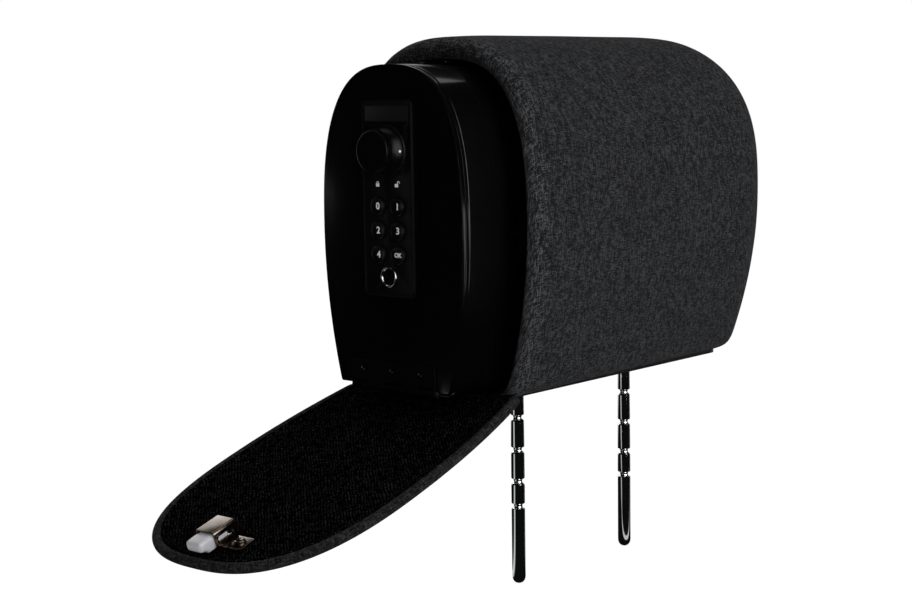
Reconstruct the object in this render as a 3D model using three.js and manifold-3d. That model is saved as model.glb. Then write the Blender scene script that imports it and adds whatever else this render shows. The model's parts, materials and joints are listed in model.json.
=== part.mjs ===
// A car headrest with a locking vault inside it, in millimetres, +Z up.
// The vault slides out of the headrest's near end (-X) under a fold-down end flap.
// Origin: centre of the base tray's underside, midway between the two posts.
import * as THREE from 'three';
import { mergeVertices } from 'three/addons/utils/BufferGeometryUtils.js';
import Module from 'manifold-3d';

const wasm = await Module();
wasm.setup();

// Clearances
const gap = 0.3; // between pieces that are fastened together
const runGap = 0.4; // between pieces that move past each other
const closeGap = 0.1; // between a thin piece and the face it lies on
const over = 5; // how far a cutting body runs past what it cuts

// Headrest body
const bodyNear = -143;
const bodyFar = 168.3;
const bodyHalfWidth = 83;
const bodyTop = 252.5;
const bodyWideHeight = 138;
const bodyFootNear = 66;
const bodyFootFar = 54;
const bodyBottomNear = 4.8;
const bodyBottomFar = 8.6;
const bodyCorner = 13;
const bodyTopRadius = 76;
const bodyPlanRadius = 50;
const bodyHeelRadius = 31;
const fabricThickness = 1.5;
const mouthBulge = 10;

// Vault
const vaultHalfWidth = 62.6;
const vaultFoot = 47.7;
const vaultHeight = 220.6;
const vaultWideRise = 111.6;
const vaultCorner = 9;
const vaultStandsOut = 57.3;
const vaultLength = 236;
const vaultWall = 1.6;
const vaultTravel = 88;
const topRoom = 3;
const sideRoom = 12.4;
const footRoom = 4;
const floorRoom = 1;
const rearRoom = 4;
const sleeveWall = 1.2;
const sleeveInset = 0.4;
const frameWidth = 8;
const frameThickness = 1.8;
const matThickness = 2;
const lugLength = 6;
const lugHalf = 4;

// Door, its hinge and its lock
const doorThickness = 7.2;
const doorSkin = 2.5;
const doorRim = 2.5;
const doorEdge = 0.8;
const doorLift = 4.2;
const hingeRadius = 3.2;
const hingePinRadius = 1.6;
const hingeHalfLength = 38;
const leafThickness = 1.2;
const doorLeafHeight = 18;
const coverPlate = 1.2;
const lockDepth = 17.5;
const lockHalfWidth = 34;
const lockHalfHeight = 19;
const lockWall = 1.5;
const boltDepth = 8;
const boltSetback = 18.3;
const boltTail = 19;
const pinionTeeth = 12;
const toothModule = 1;
const rackAddendum = 0.65;
const pinionAddendum = 0.9;
const toothBacklash = 0.25;
const spindleRadius = 4;

// Keypad
const panelWidth = 44;
const panelThickness = 2.7;
const panelCorner = 4;
const panelMargin = 6;
const labelHeight = 13;
const labelDepth = 0.8;
const labelMargin = 3.5;
const labelRoom = 0.8;
const keyRadius = 6.3;
const keySpread = 8.8;
const keyRoom = 14.4;
const keyPitch = 16.2;
const keyProud = 0.5;
const keyTravel = 0.8;
const stemRadius = 2.2;
const sensorRise = 79;
const sensorRadius = 7;
const sensorRim = 1.5;
const sensorRoom = 1.9;
const knobRadius = 15;
const knobBaseLip = 1.2;
const knobDepth = 9.6;
const knobBaseDepth = 1.6;

// Slides
const railHeight = 30;
const railLevel = 120;
const railSheet = 1.2;
const railLip = 4.5;
const railStem = 5;
const railMouth = 3;
const railSetFront = 45;
const railSetRear = 5.7;

// Base and posts
const trayThickness = 3;
const trayHalfWidth = 33;
const trayWall = 2.2;
const trayFrontInset = 2;
const trayRearInset = 13.3;
const trayCorner = 12;
const channelHeight = 7.2;
const channelLength = 44;
const channelWidth = 34;
const channelSheet = 1.5;
const postSpacing = 135;
const postRadius = 5;
const postLength = 149.1;
const grooveDepth = 1.9;
const grooveWidth = 3.6;
const grooveLevels = [-23.9, -48.0, -71.6, -90.4];
const studRadius = 4;
const collarRadius = 11;
const collarHeight = 2.5;
const nutRadius = 6.8;
const nutHeight = 3.6;

// End flap, built closed about its hinge line: w towards the body, u up the flap
const flapHingeOut = 17;
const flapOpenAngle = 108;
const flapOverhang = 2;
const flapFoot = 75;
const flapTopInset = 10.5;
const flapWideRise = 112;
const bindingRadius = 4.8;
const bindingLevel = -0.3;
const boardThickness = 2.5;
const boardLevel = -0.7;
const liningThickness = 0.9;
const knuckleRadius = 2.6;
const knucklePinRadius = 1.2;
const flapHingeHalf = 50;
const flapLeaf = 1;
const flapLeafHeight = 26;
const catchBite = 1.4;
const catchNose = 15.7;
const catchLength = 14;
const catchWidth = 16.5;
const catchHeight = 13;
const catchSheet = 1.1;
const noseWidth = 13.4;
const noseLow = 6.4;
const noseHigh = 13.1;
const noseBevel = 2.4;
const plungerTravel = 4;
const strikeHalf = 12;
const strikeDrop = 1.3;
const strikeThickness = 1.1;
const strikeBar = 1.2;

const group = new THREE.Group();

// A closed solid from a geometry, and back again
function solid(geometry) {
  const bare = geometry.index ? geometry.toNonIndexed() : geometry.clone();
  for (const name of Object.keys(bare.attributes)) {
    if (name !== 'position') bare.deleteAttribute(name);
  }
  const merged = mergeVertices(bare, 1e-4);
  return new wasm.Manifold(new wasm.Mesh({
    numProp: 3,
    vertProperties: new Float32Array(merged.attributes.position.array),
    triVerts: new Uint32Array(merged.index.array),
  }));
}

function geometryOf(body) {
  const data = body.getMesh();
  const geometry = new THREE.BufferGeometry();
  geometry.setAttribute('position', new THREE.BufferAttribute(data.vertProperties, 3));
  geometry.setIndex(new THREE.BufferAttribute(data.triVerts, 1));
  return geometry;
}

function cut(body, ...tools) {
  let result = solid(body);
  for (const tool of tools) result = result.subtract(solid(tool));
  return geometryOf(result);
}

function join(body, ...others) {
  let result = solid(body);
  for (const other of others) result = result.add(solid(other));
  return geometryOf(result);
}

function common(body, other) {
  return geometryOf(solid(body).intersect(solid(other)));
}

function add(name, geometry, [colour, roughness, metalness], parent = group) {
  const material = new THREE.MeshStandardMaterial({ color: colour, roughness, metalness });
  const mesh = new THREE.Mesh(geometry, material);
  mesh.name = name;
  parent.add(mesh);
  return mesh;
}

const finish = {
  cloth: [0x2b2d31, 0.95, 0],
  lining: [0x0c0c0d, 0.98, 0],
  binding: [0x1c1d20, 0.85, 0],
  foam: [0x3a3a3c, 0.95, 0],
  board: [0x151515, 0.9, 0],
  black: [0x0a0a0b, 0.42, 0.3],
  gloss: [0x0b0b0d, 0.18, 0.1],
  plastic: [0x101012, 0.5, 0],
  zinc: [0x8f9296, 0.4, 0.9],
  chrome: [0xd8dadd, 0.08, 1],
  nickel: [0xb8a58c, 0.28, 1],
  nylon: [0xe9e9ee, 0.45, 0],
  rubber: [0x111111, 0.9, 0],
  circuit: [0x134a2b, 0.6, 0],
  cell: [0x7c7f84, 0.35, 0.7],
};

// Axes: a flat outline (across, up) carried along X
const alongX = new THREE.Matrix4().makeBasis(
  new THREE.Vector3(0, 1, 0), new THREE.Vector3(0, 0, 1), new THREE.Vector3(1, 0, 0));

function prism(outline, from, to, holes = []) {
  const shape = new THREE.Shape(outline);
  for (const hole of holes) shape.holes.push(new THREE.Path(hole));
  const body = new THREE.ExtrudeGeometry(shape, { depth: to - from, bevelEnabled: false });
  return body.applyMatrix4(alongX).translate(from, 0, 0);
}

function box(x0, x1, y0, y1, z0, z1) {
  return new THREE.BoxGeometry(x1 - x0, y1 - y0, z1 - z0)
    .translate((x0 + x1) / 2, (y0 + y1) / 2, (z0 + z1) / 2);
}

function rodX(radius, x0, x1, y, z, sides = 20) {
  return new THREE.CylinderGeometry(radius, radius, x1 - x0, sides)
    .rotateZ(-Math.PI / 2).translate((x0 + x1) / 2, y, z);
}

function rodY(radius, y0, y1, x, z, sides = 16) {
  return new THREE.CylinderGeometry(radius, radius, y1 - y0, sides)
    .translate(x, (y0 + y1) / 2, z);
}

function rodZ(radius, z0, z1, x, y, sides = 24) {
  return new THREE.CylinderGeometry(radius, radius, z1 - z0, sides)
    .rotateX(Math.PI / 2).translate(x, y, (z0 + z1) / 2);
}

function turned(profile, sides) {
  const points = profile.map(([r, h]) => new THREE.Vector2(r, h));
  return new THREE.LatheGeometry(points, sides);
}

function roundedRect(width, height, radius, centre = 0) {
  const shape = new THREE.Shape();
  const w = width / 2;
  const low = centre - height / 2;
  const high = centre + height / 2;
  shape.moveTo(-w + radius, low);
  shape.absarc(w - radius, low + radius, radius, -Math.PI / 2, 0);
  shape.absarc(w - radius, high - radius, radius, 0, Math.PI / 2);
  shape.absarc(-w + radius, high - radius, radius, Math.PI / 2, Math.PI);
  shape.absarc(-w + radius, low + radius, radius, Math.PI, 1.5 * Math.PI);
  return mergeClose(shape.getPoints(4));
}

function mergeClose(points) {
  return points.filter((p, i) => p.distanceTo(points[(i + 1) % points.length]) > 1e-4);
}

function circle(radius, y = 0, z = 0, sides = 24) {
  return Array.from({ length: sides }, (_, i) => {
    const a = (i / sides) * 2 * Math.PI;
    return new THREE.Vector2(y + radius * Math.cos(a), z + radius * Math.sin(a));
  });
}

// The section shared by the headrest, its mouth, the sleeve, the vault and the flap:
// a narrow flat foot, sides that swell to the widest level, and a rounded top.
const topPower = 2.65;

function section({ half, foot, bottom, top, wide, corner }) {
  const lean = Math.atan(2 * (half - foot) / (wide - bottom));
  const centre = foot - corner * (1 - Math.sin(lean)) / Math.cos(lean);
  const side = [];
  const cornerSteps = 4;
  for (let i = 0; i <= cornerSteps; i += 1) {
    const a = -Math.PI / 2 + (i / cornerSteps) * (Math.PI / 2 - lean);
    side.push([centre + corner * Math.cos(a), bottom + corner + corner * Math.sin(a)]);
  }
  const start = side[cornerSteps][1];
  const sideSteps = 6;
  for (let i = 1; i <= sideSteps; i += 1) {
    const z = start + (i / sideSteps) * (wide - start);
    side.push([half - (half - foot) * ((wide - z) / (wide - bottom)) ** 2, z]);
  }
  const topSteps = 11;
  for (let i = 1; i <= topSteps; i += 1) {
    const a = (i / topSteps) * Math.PI / 2;
    const y = i < topSteps ? half * Math.cos(a) ** (2 / topPower) : 0;
    side.push([y, wide + (top - wide) * Math.sin(a) ** (2 / topPower)]);
  }
  const right = side.map(([y, z]) => new THREE.Vector2(y, z));
  const left = side.slice(0, -1).reverse().map(([y, z]) => new THREE.Vector2(-y, z));
  return [...right, ...left];
}

function inset(spec, by) {
  return {
    half: spec.half - by,
    foot: spec.foot - by,
    bottom: spec.bottom + by,
    top: spec.top - by,
    wide: spec.wide,
    corner: Math.max(spec.corner - by, 1),
  };
}

// A closed solid through outlines of equal count, at growing X
function loft(stations) {
  const count = stations[0].outline.length;
  const spots = [];
  for (const { x, outline } of stations) {
    for (const p of outline) spots.push(x, p.x, p.y);
  }
  const faces = [];
  for (let i = 0; i < stations.length - 1; i += 1) {
    for (let j = 0; j < count; j += 1) {
      const a = i * count + j;
      const b = i * count + (j + 1) % count;
      faces.push(a, b, b + count, a, b + count, a + count);
    }
  }
  for (const [i, flip] of [[0, true], [stations.length - 1, false]]) {
    const { x, outline } = stations[i];
    const middle = spots.length / 3;
    const mean = outline.reduce((sum, p) => sum.add(p), new THREE.Vector2());
    spots.push(x, mean.x / count, mean.y / count);
    for (let j = 0; j < count; j += 1) {
      const a = i * count + j;
      const b = i * count + (j + 1) % count;
      faces.push(middle, flip ? b : a, flip ? a : b);
    }
  }
  const geometry = new THREE.BufferGeometry();
  geometry.setAttribute('position', new THREE.Float32BufferAttribute(spots, 3));
  geometry.setIndex(faces);
  return geometry;
}

// Levels that follow from the driving sizes
const sleeveBottom = trayThickness + channelHeight + 2 * gap;
const vaultBottom = sleeveBottom + sleeveWall + floorRoom;
const vaultSpec = {
  half: vaultHalfWidth,
  foot: vaultFoot,
  bottom: vaultBottom,
  top: vaultBottom + vaultHeight,
  wide: vaultBottom + vaultWideRise,
  corner: vaultCorner,
};
const sleeveSpec = {
  half: vaultHalfWidth + sideRoom,
  foot: vaultFoot + footRoom,
  bottom: vaultBottom - floorRoom,
  top: vaultSpec.top + topRoom,
  wide: vaultSpec.wide,
  corner: vaultCorner + 2,
};
const mouthSpec = {
  half: sleeveSpec.half,
  foot: sleeveSpec.foot + 2,
  bottom: sleeveBottom - 1,
  top: sleeveSpec.top - sleeveInset,
  wide: sleeveSpec.wide,
  corner: sleeveSpec.corner,
};
const vaultFront = bodyNear - vaultStandsOut;
const shellFront = vaultFront + doorThickness + gap;
const shellRear = vaultFront + vaultLength;
const sleeveFront = bodyNear - gap;
const sleeveRear = shellRear + vaultTravel + rearRoom;
const trayFront = bodyNear + trayFrontInset;
const trayRear = bodyFar - trayRearInset;
const sensorHeight = vaultBottom + sensorRise;
const keyTop = sensorHeight + sensorRadius + sensorRoom + keyRadius + 2 * keyPitch;
const lockHeight = keyTop + keyRadius + keyRoom + knobRadius + knobBaseLip;
const labelCentre = lockHeight + knobRadius + knobBaseLip + labelRoom + labelHeight / 2;
const panelBottom = sensorHeight - sensorRadius - panelMargin;
const panelTop = labelCentre + labelHeight / 2 + labelMargin;
const flapHingeX = bodyNear - flapHingeOut;
const flapHingeZ = trayThickness + gap + knuckleRadius + closeGap;
const flapHalfWidth = bodyHalfWidth + flapOverhang;
const flapLength = bodyTop - flapTopInset - flapHingeZ;
const strikeTop = sleeveSpec.top - strikeDrop;
const catchEnd = strikeTop + catchBite - flapHingeZ;

// The headrest's outer form at a station, drawn in by an inset for its inner skins
function bodySection(x, by) {
  const along = THREE.MathUtils.clamp((x - bodyNear) / (bodyFar - bodyNear), 0, 1);
  const arc = (radius) => {
    const into = x - (bodyFar - radius);
    return into <= 0 ? 0 : radius - Math.sqrt(Math.max(radius ** 2 - into ** 2, 0));
  };
  const plan = arc(bodyPlanRadius);
  const bottom = THREE.MathUtils.lerp(bodyBottomNear, bodyBottomFar, along) + arc(bodyHeelRadius);
  const foot = THREE.MathUtils.lerp(bodyFootNear, bodyFootFar, along);
  const share = (bodyHalfWidth - plan) / bodyHalfWidth;
  return section(inset({
    half: bodyHalfWidth - plan,
    foot: foot * share,
    bottom,
    top: bodyTop - arc(bodyTopRadius),
    wide: bodyWideHeight,
    corner: bodyCorner,
  }, by));
}

// Stations crowd towards the far end, where the form rounds off
function bodyForm(by, start) {
  const noseSteps = 8;
  const flats = [start, bodyFar - bodyTopRadius];
  const nose = Array.from({ length: noseSteps }, (_, i) => {
    const a = ((i + 1) / noseSteps) * Math.PI / 2;
    return bodyFar - bodyTopRadius * (1 - Math.sin(a));
  });
  const squash = (x) => x - by * THREE.MathUtils.smoothstep(x, bodyFar - bodyPlanRadius, bodyFar);
  return loft([...flats, ...nose].map((x) => ({ x: squash(x), outline: bodySection(x, by) })));
}

const traySlot = box(bodyNear - over, trayRear + gap,
  -trayHalfWidth - gap, trayHalfWidth + gap, 0, sleeveBottom + sleeveWall / 2);
const sleeveRoom = prism(section(inset(sleeveSpec, -sleeveWall - gap)),
  bodyNear - over, sleeveRear + 2 * gap + sleeveWall);

// Cloth cover, foam and the padded mouth
add('fabric_cover', cut(bodyForm(0, bodyNear), bodyForm(fabricThickness, bodyNear - over),
  traySlot, sleeveRoom), finish.cloth);

add('foam_body', cut(bodyForm(fabricThickness + gap, bodyNear + gap), sleeveRoom, traySlot),
  finish.foam);

function mouthRing(inner, outer, x, bulge) {
  const steps = 6;
  const rows = [];
  for (let s = 0; s <= steps; s += 1) {
    const t = s / steps;
    rows.push({ t, x: x - bulge * Math.sin(Math.PI * t) ** 0.7 });
  }
  const spots = [];
  const faces = [];
  const count = inner.length;
  for (const row of rows) {
    for (let j = 0; j < count; j += 1) {
      spots.push(row.x, THREE.MathUtils.lerp(inner[j].x, outer[j].x, row.t),
        THREE.MathUtils.lerp(inner[j].y, outer[j].y, row.t));
    }
  }
  for (let i = 0; i < rows.length; i += 1) {
    const next = (i + 1) % rows.length;
    for (let j = 0; j < count; j += 1) {
      const k = (j + 1) % count;
      const [a, b, c, d] = [i * count + j, i * count + k, next * count + k, next * count + j];
      faces.push(a, b, c, a, c, d);
    }
  }
  const geometry = new THREE.BufferGeometry();
  geometry.setAttribute('position', new THREE.Float32BufferAttribute(spots, 3));
  geometry.setIndex(faces);
  return geometry;
}

add('mouth_roll', mouthRing(section(mouthSpec), bodySection(bodyNear, 0),
  bodyNear - gap, mouthBulge), finish.cloth);

// Steel sleeve that the vault slides in
const lugFront = shellRear - lugLength - vaultWall - gap;
const sleeveStop = box(lugFront - gap - lugLength, lugFront - gap, -lugHalf, lugHalf,
  vaultSpec.top + runGap, sleeveSpec.top + sleeveWall / 2);
const sleeveTube = cut(prism(section(inset(sleeveSpec, -sleeveWall)), sleeveFront, sleeveRear),
  prism(section(sleeveSpec), sleeveFront - over, sleeveRear - sleeveWall));
add('sleeve', join(sleeveTube, sleeveStop), finish.zinc);
const glideHalf = 30;
add('floor_glide', box(sleeveFront + 5, sleeveRear - 20, -glideHalf, glideHalf,
  sleeveSpec.bottom + closeGap, vaultBottom - runGap), finish.nylon);

// Slides: a lipped channel on the sleeve and a T bar on the vault, each side
const railBack = sleeveSpec.half - 2 * gap;
function channelOutline(side) {
  const back = railBack;
  const mouth = vaultHalfWidth + railMouth;
  const t = railSheet;
  const h = railHeight / 2;
  const lip = h - railLip - t;
  const points = [[back, -h], [back, h], [mouth, h], [mouth, lip], [mouth + t, lip], [mouth + t, h - t],
    [back - t, h - t], [back - t, -h + t], [mouth + t, -h + t], [mouth + t, -lip], [mouth, -lip], [mouth, -h]];
  return points.map(([y, z]) => new THREE.Vector2(side * y, railLevel + z));
}

function barOutline(side) {
  const stem = vaultHalfWidth + gap;
  const neck = vaultHalfWidth + railMouth + railSheet + runGap;
  const head = railBack - railSheet - runGap;
  const h = railHeight / 2 - railSheet - runGap;
  const s = railStem / 2;
  const points = [[stem, -s], [neck, -s], [neck, -h], [head, -h], [head, h], [neck, h], [neck, s], [stem, s]];
  return points.map(([y, z]) => new THREE.Vector2(side * y, railLevel + z));
}

// The sleeve's sides curve in above and below their widest level
const sleeveWallRoom = prism(section(inset(sleeveSpec, -4 * over)), sleeveFront - over, sleeveRear + over,
  [section(inset(sleeveSpec, gap))]);
const sides = [['front', -1], ['back', 1]];
for (const [name, side] of sides) {
  add(`outer_rail_${name}`, cut(prism(channelOutline(side), sleeveFront + 3, sleeveRear - 6),
    sleeveWallRoom), finish.zinc);
}

// Base tray, the two channels in it and the posts
const trayPlan = (by) => roundedRect(2 * (trayHalfWidth - by), trayRear - trayFront - 2 * by,
  trayCorner - by, (trayRear + trayFront) / 2);
const upright = new THREE.Matrix4().makeBasis(
  new THREE.Vector3(0, 1, 0), new THREE.Vector3(1, 0, 0), new THREE.Vector3(0, 0, -1));

function slab(plan, low, high) {
  const body = new THREE.ExtrudeGeometry(new THREE.Shape(plan), { depth: high - low, bevelEnabled: false });
  return body.applyMatrix4(upright).translate(0, 0, high);
}

const flapLeafTop = trayThickness + gap + leafThickness;
const flapLeafRear = trayFront + 32;
const postX = [-postSpacing / 2, postSpacing / 2];
add('base_tray', cut(slab(trayPlan(0), 0, sleeveBottom - gap),
  slab(trayPlan(trayWall), trayThickness, sleeveBottom + over),
  box(trayFront - over, trayFront + over + 10, -flapHingeHalf - 1, flapHingeHalf + 1,
    trayThickness, flapLeafTop + gap),
  ...postX.map((x) => rodZ(collarRadius + gap, -over, over, x, 0))), finish.plastic);

const channelTop = trayThickness + gap + channelHeight;
function crossChannel(x) {
  const w = channelWidth / 2;
  return cut(
    box(x - w, x + w, -channelLength / 2, channelLength / 2, trayThickness + gap, channelTop),
    box(x - w + channelSheet, x + w - channelSheet, -channelLength / 2 - over, channelLength / 2 + over,
      trayThickness + gap + channelSheet, channelTop - channelSheet),
    rodZ(studRadius + gap, 0, trayThickness + gap + 2, x, 0));
}
const postNames = ['near', 'far'];
postX.forEach((x, i) => add(`channel_${postNames[i]}`, crossChannel(x), finish.zinc));

const nutBottom = trayThickness + gap + channelSheet + gap;
// The collar sits in the tray's hole and bears on the cross channel
function postProfile() {
  const r = postRadius;
  const profile = [[0, -postLength], [r * 0.45, -postLength + 0.5], [r * 0.8, -postLength + 2],
    [r, -postLength + 4.5]];
  for (const level of [...grooveLevels].reverse()) {
    const h = grooveWidth / 2;
    profile.push([r, level - h - 0.8], [r - grooveDepth, level - h + 0.6],
      [r - grooveDepth, level + h - 0.6], [r, level + h + 0.8]);
  }
  const collarFoot = trayThickness - collarHeight;
  profile.push([r, collarFoot], [collarRadius - 1, collarFoot], [collarRadius, collarFoot + 1],
    [collarRadius, trayThickness], [studRadius, trayThickness],
    [studRadius, nutBottom + nutHeight], [0, nutBottom + nutHeight]);
  return profile;
}
postX.forEach((x, i) => {
  add(`post_${postNames[i]}`, turned(postProfile(), 16).rotateX(Math.PI / 2).translate(x, 0, 0),
    finish.chrome);
  add(`post_nut_${postNames[i]}`, cut(rodZ(nutRadius, nutBottom, nutBottom + nutHeight - 0.6, x, 0, 6),
    rodZ(studRadius + closeGap, 0, channelTop, x, 0, 16)), finish.zinc);
});

// Vault body
const vaultGroup = new THREE.Group();
group.add(vaultGroup);
const shellInner = inset(vaultSpec, vaultWall);
const stopLug = box(lugFront, lugFront + lugLength, -lugHalf, lugHalf, vaultSpec.top - vaultWall / 2,
  sleeveSpec.top - runGap);
const shellTube = cut(prism(section(vaultSpec), shellFront, shellRear),
  prism(section(shellInner), shellFront - over, shellRear - vaultWall));
add('vault_shell', join(shellTube, stopLug), finish.black, vaultGroup);

const hingeX = vaultFront + 1.7;
const hingeZ = vaultBottom + hingeRadius + 0.2;
const leafLow = vaultBottom + vaultWall + gap;
const frameFront = shellFront + gap;
const frameNotch = box(frameFront - over, frameFront + frameThickness + over,
  -hingeHalfLength - 1, hingeHalfLength + 1, vaultBottom, leafLow + leafThickness + gap);
add('front_frame', cut(prism(section(inset(shellInner, gap)), frameFront, frameFront + frameThickness,
  [section(inset(shellInner, frameWidth))]), frameNotch), finish.black, vaultGroup);

const sealWidth = 3;
const frameRear = frameFront + frameThickness;
const matBottom = leafLow;
const matHalf = shellInner.foot - 8;
const matFront = frameRear + 22;
add('floor_mat', box(matFront, shellRear - vaultWall - 1, -matHalf, matHalf, matBottom,
  matBottom + matThickness), finish.lining, vaultGroup);

for (const [name, side] of sides) {
  add(`inner_rail_${name}`, prism(barOutline(side), shellFront + railSetFront, shellRear - railSetRear),
    finish.zinc, vaultGroup);
}

// Door hinge along the foot of the door: five knuckles on one pin
const knuckleCount = 5;
const knuckleLength = 2 * hingeHalfLength / knuckleCount;
function knuckleSpan(i) {
  const low = -hingeHalfLength + i * knuckleLength;
  return [low + runGap / 2, low + knuckleLength - runGap / 2];
}
function doorKnuckles(first, leaf) {
  const knuckles = [];
  for (let i = first; i < knuckleCount; i += 2) {
    const [y0, y1] = knuckleSpan(i);
    knuckles.push(rodY(hingeRadius, y0, y1, hingeX, hingeZ));
    const doorSide = hingeX - hingeRadius;
    knuckles.push(first === 0
      ? box(hingeX, hingeX + hingeRadius + over, y0, y1, leafLow, leafLow + leafThickness)
      : box(doorSide, doorSide + leafThickness, y0, y1, hingeZ, hingeZ + hingeRadius + over));
  }
  return cut(join(leaf, ...knuckles),
    rodY(hingePinRadius + closeGap, -hingeHalfLength - over, hingeHalfLength + over, hingeX, hingeZ));
}
const fixedLeaf = box(hingeX + hingeRadius + runGap, frameRear + 18, -hingeHalfLength, hingeHalfLength,
  leafLow, leafLow + leafThickness);
add('door_hinge_fixed_leaf', doorKnuckles(0, fixedLeaf), finish.black, vaultGroup);
add('door_hinge_pin', rodY(hingePinRadius, -hingeHalfLength + 0.5, hingeHalfLength - 0.5, hingeX, hingeZ, 16),
  finish.zinc, vaultGroup);

// Door
const door = new THREE.Group();
group.add(door);
const doorRear = vaultFront + doorThickness;
const doorFoot = box(vaultFront - over, doorRear + over, -vaultHalfWidth, vaultHalfWidth,
  0, vaultBottom + doorLift);
const barrelRoom = box(vaultFront - over, doorRear + over, -hingeHalfLength - 1, hingeHalfLength + 1,
  0, hingeZ + hingeRadius + runGap);
const pocketBottom = hingeZ + hingeRadius + runGap + doorRim;
const pocketFoot = box(vaultFront + doorSkin - over, doorRear + 2 * over, -vaultHalfWidth, vaultHalfWidth,
  0, pocketBottom);
const doorBlank = new THREE.ExtrudeGeometry(new THREE.Shape(section(vaultSpec)), {
  depth: doorThickness - doorEdge, bevelEnabled: true, bevelSegments: 1, steps: 1,
  bevelThickness: doorEdge, bevelSize: doorEdge, bevelOffset: -doorEdge,
}).applyMatrix4(alongX).translate(vaultFront + doorEdge, 0, 0);
const doorTail = box(doorRear, doorRear + over, -vaultHalfWidth - over, vaultHalfWidth + over,
  0, vaultSpec.top + over);
const pocket = cut(prism(section(inset(vaultSpec, doorRim)), vaultFront + doorSkin, doorRear + over),
  pocketFoot);
const panelRear = vaultFront - gap;
const panelFace = panelRear - panelThickness;
const keyHoles = [];
for (let row = 0; row < 3; row += 1) {
  for (const side of [1, -1]) keyHoles.push([side * keySpread, keyTop - row * keyPitch]);
}
add('door_plate', cut(doorBlank, doorTail, doorFoot, barrelRoom, pocket,
  rodX(spindleRadius + runGap, vaultFront - over, doorRear, 0, lockHeight),
  rodX(4, vaultFront - over, doorRear, 0, sensorHeight),
  ...keyHoles.map(([y, z]) => rodX(stemRadius + runGap, vaultFront - over, doorRear, y, z, 16))),
  finish.black, door);

const doorLeaf = box(hingeX - hingeRadius, hingeX - hingeRadius + leafThickness,
  -hingeHalfLength, hingeHalfLength, hingeZ + hingeRadius + runGap, hingeZ + doorLeafHeight);
add('door_hinge_moving_leaf', doorKnuckles(1, doorLeaf), finish.black, door);

const coverFront = doorRear - gap - coverPlate;
const backCover = cut(prism(section(inset(vaultSpec, doorRim + gap)), coverFront, doorRear - gap),
  box(coverFront - over, doorRear + over, -vaultHalfWidth, vaultHalfWidth, 0, pocketBottom + gap));
add('door_back_cover', cut(backCover,
  rodX(spindleRadius + runGap, coverFront - over, doorRear + over, 0, lockHeight)), finish.black, door);

// Keypad panel with its label window, sensor and keys
const panelOutline = roundedRect(panelWidth, panelTop - panelBottom, panelCorner,
  (panelTop + panelBottom) / 2);
const panelBevel = 0.8;
const labelWidth = panelWidth - 2 * panelMargin;
const panelBlank = new THREE.ExtrudeGeometry(new THREE.Shape(panelOutline), {
  depth: panelThickness - panelBevel, bevelEnabled: true, bevelSegments: 1, steps: 1,
  bevelThickness: panelBevel, bevelSize: panelBevel, bevelOffset: -panelBevel,
}).applyMatrix4(alongX).translate(panelFace + panelBevel, 0, 0);
const panelTail = box(panelRear, panelRear + over, -panelWidth, panelWidth,
  panelBottom - over, panelTop + over);
const labelRecess = prism(roundedRect(labelWidth + 2 * gap, labelHeight + 2 * gap, 1.2, labelCentre),
  panelFace - over, panelFace + labelDepth + closeGap);
add('keypad_panel', cut(panelBlank, panelTail, labelRecess,
  rodX(spindleRadius + runGap, panelFace - over, panelRear + over, 0, lockHeight),
  rodX(sensorRadius + gap, panelFace - over, panelRear + over, 0, sensorHeight, 24),
  ...keyHoles.map(([y, z]) => rodX(keyRadius + runGap, panelFace - over, panelRear + over, y, z, 18))),
finish.plastic, door);
add('label_window', prism(roundedRect(labelWidth, labelHeight, 1, labelCentre),
  panelFace + closeGap, panelFace + labelDepth), finish.gloss, door);

const sensorWell = sensorRadius - sensorRim;
add('sensor_ring', turned([[sensorWell, 0], [sensorRadius, 0], [sensorRadius, panelThickness + 0.3],
  [sensorRadius - 0.5, panelThickness + 0.9], [sensorWell + 0.2, panelThickness + 0.4],
  [sensorWell, panelThickness], [sensorWell, 0]], 24).rotateZ(Math.PI / 2)
  .translate(panelRear, 0, sensorHeight), finish.chrome, door);
const boardFront = vaultFront + doorSkin + gap;
add('sensor_pad', rodX(sensorWell - 0.2, panelFace + 0.6, panelRear, 0, sensorHeight, 24),
  finish.gloss, door);
const boardSheet = 1.4;
const boardHalf = panelWidth / 2 - 2;
add('circuit_board', box(boardFront, boardFront + boardSheet, -boardHalf, boardHalf,
  sensorHeight - sensorRadius - 1, lockHeight - spindleRadius - 8), finish.circuit, door);

const keyNames = ['key_0', 'key_1', 'key_2', 'key_3', 'key_4', 'key_ok'];
const keyFloor = panelRear - keyTravel - 0.2;
const stemEnd = boardFront - keyTravel - gap;
keyNames.forEach((name, i) => {
  const [y, z] = keyHoles[i];
  const cap = keyFloor - panelFace + keyProud;
  const stem = stemEnd - keyFloor;
  const key = turned([[0, 0], [stemRadius, 0], [stemRadius, stem], [keyRadius, stem],
    [keyRadius, stem + cap - 0.4], [keyRadius - 0.5, stem + cap], [0, stem + cap]], 18);
  add(name, key.rotateZ(Math.PI / 2).translate(stemEnd, y, z), finish.plastic, group);
});

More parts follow.
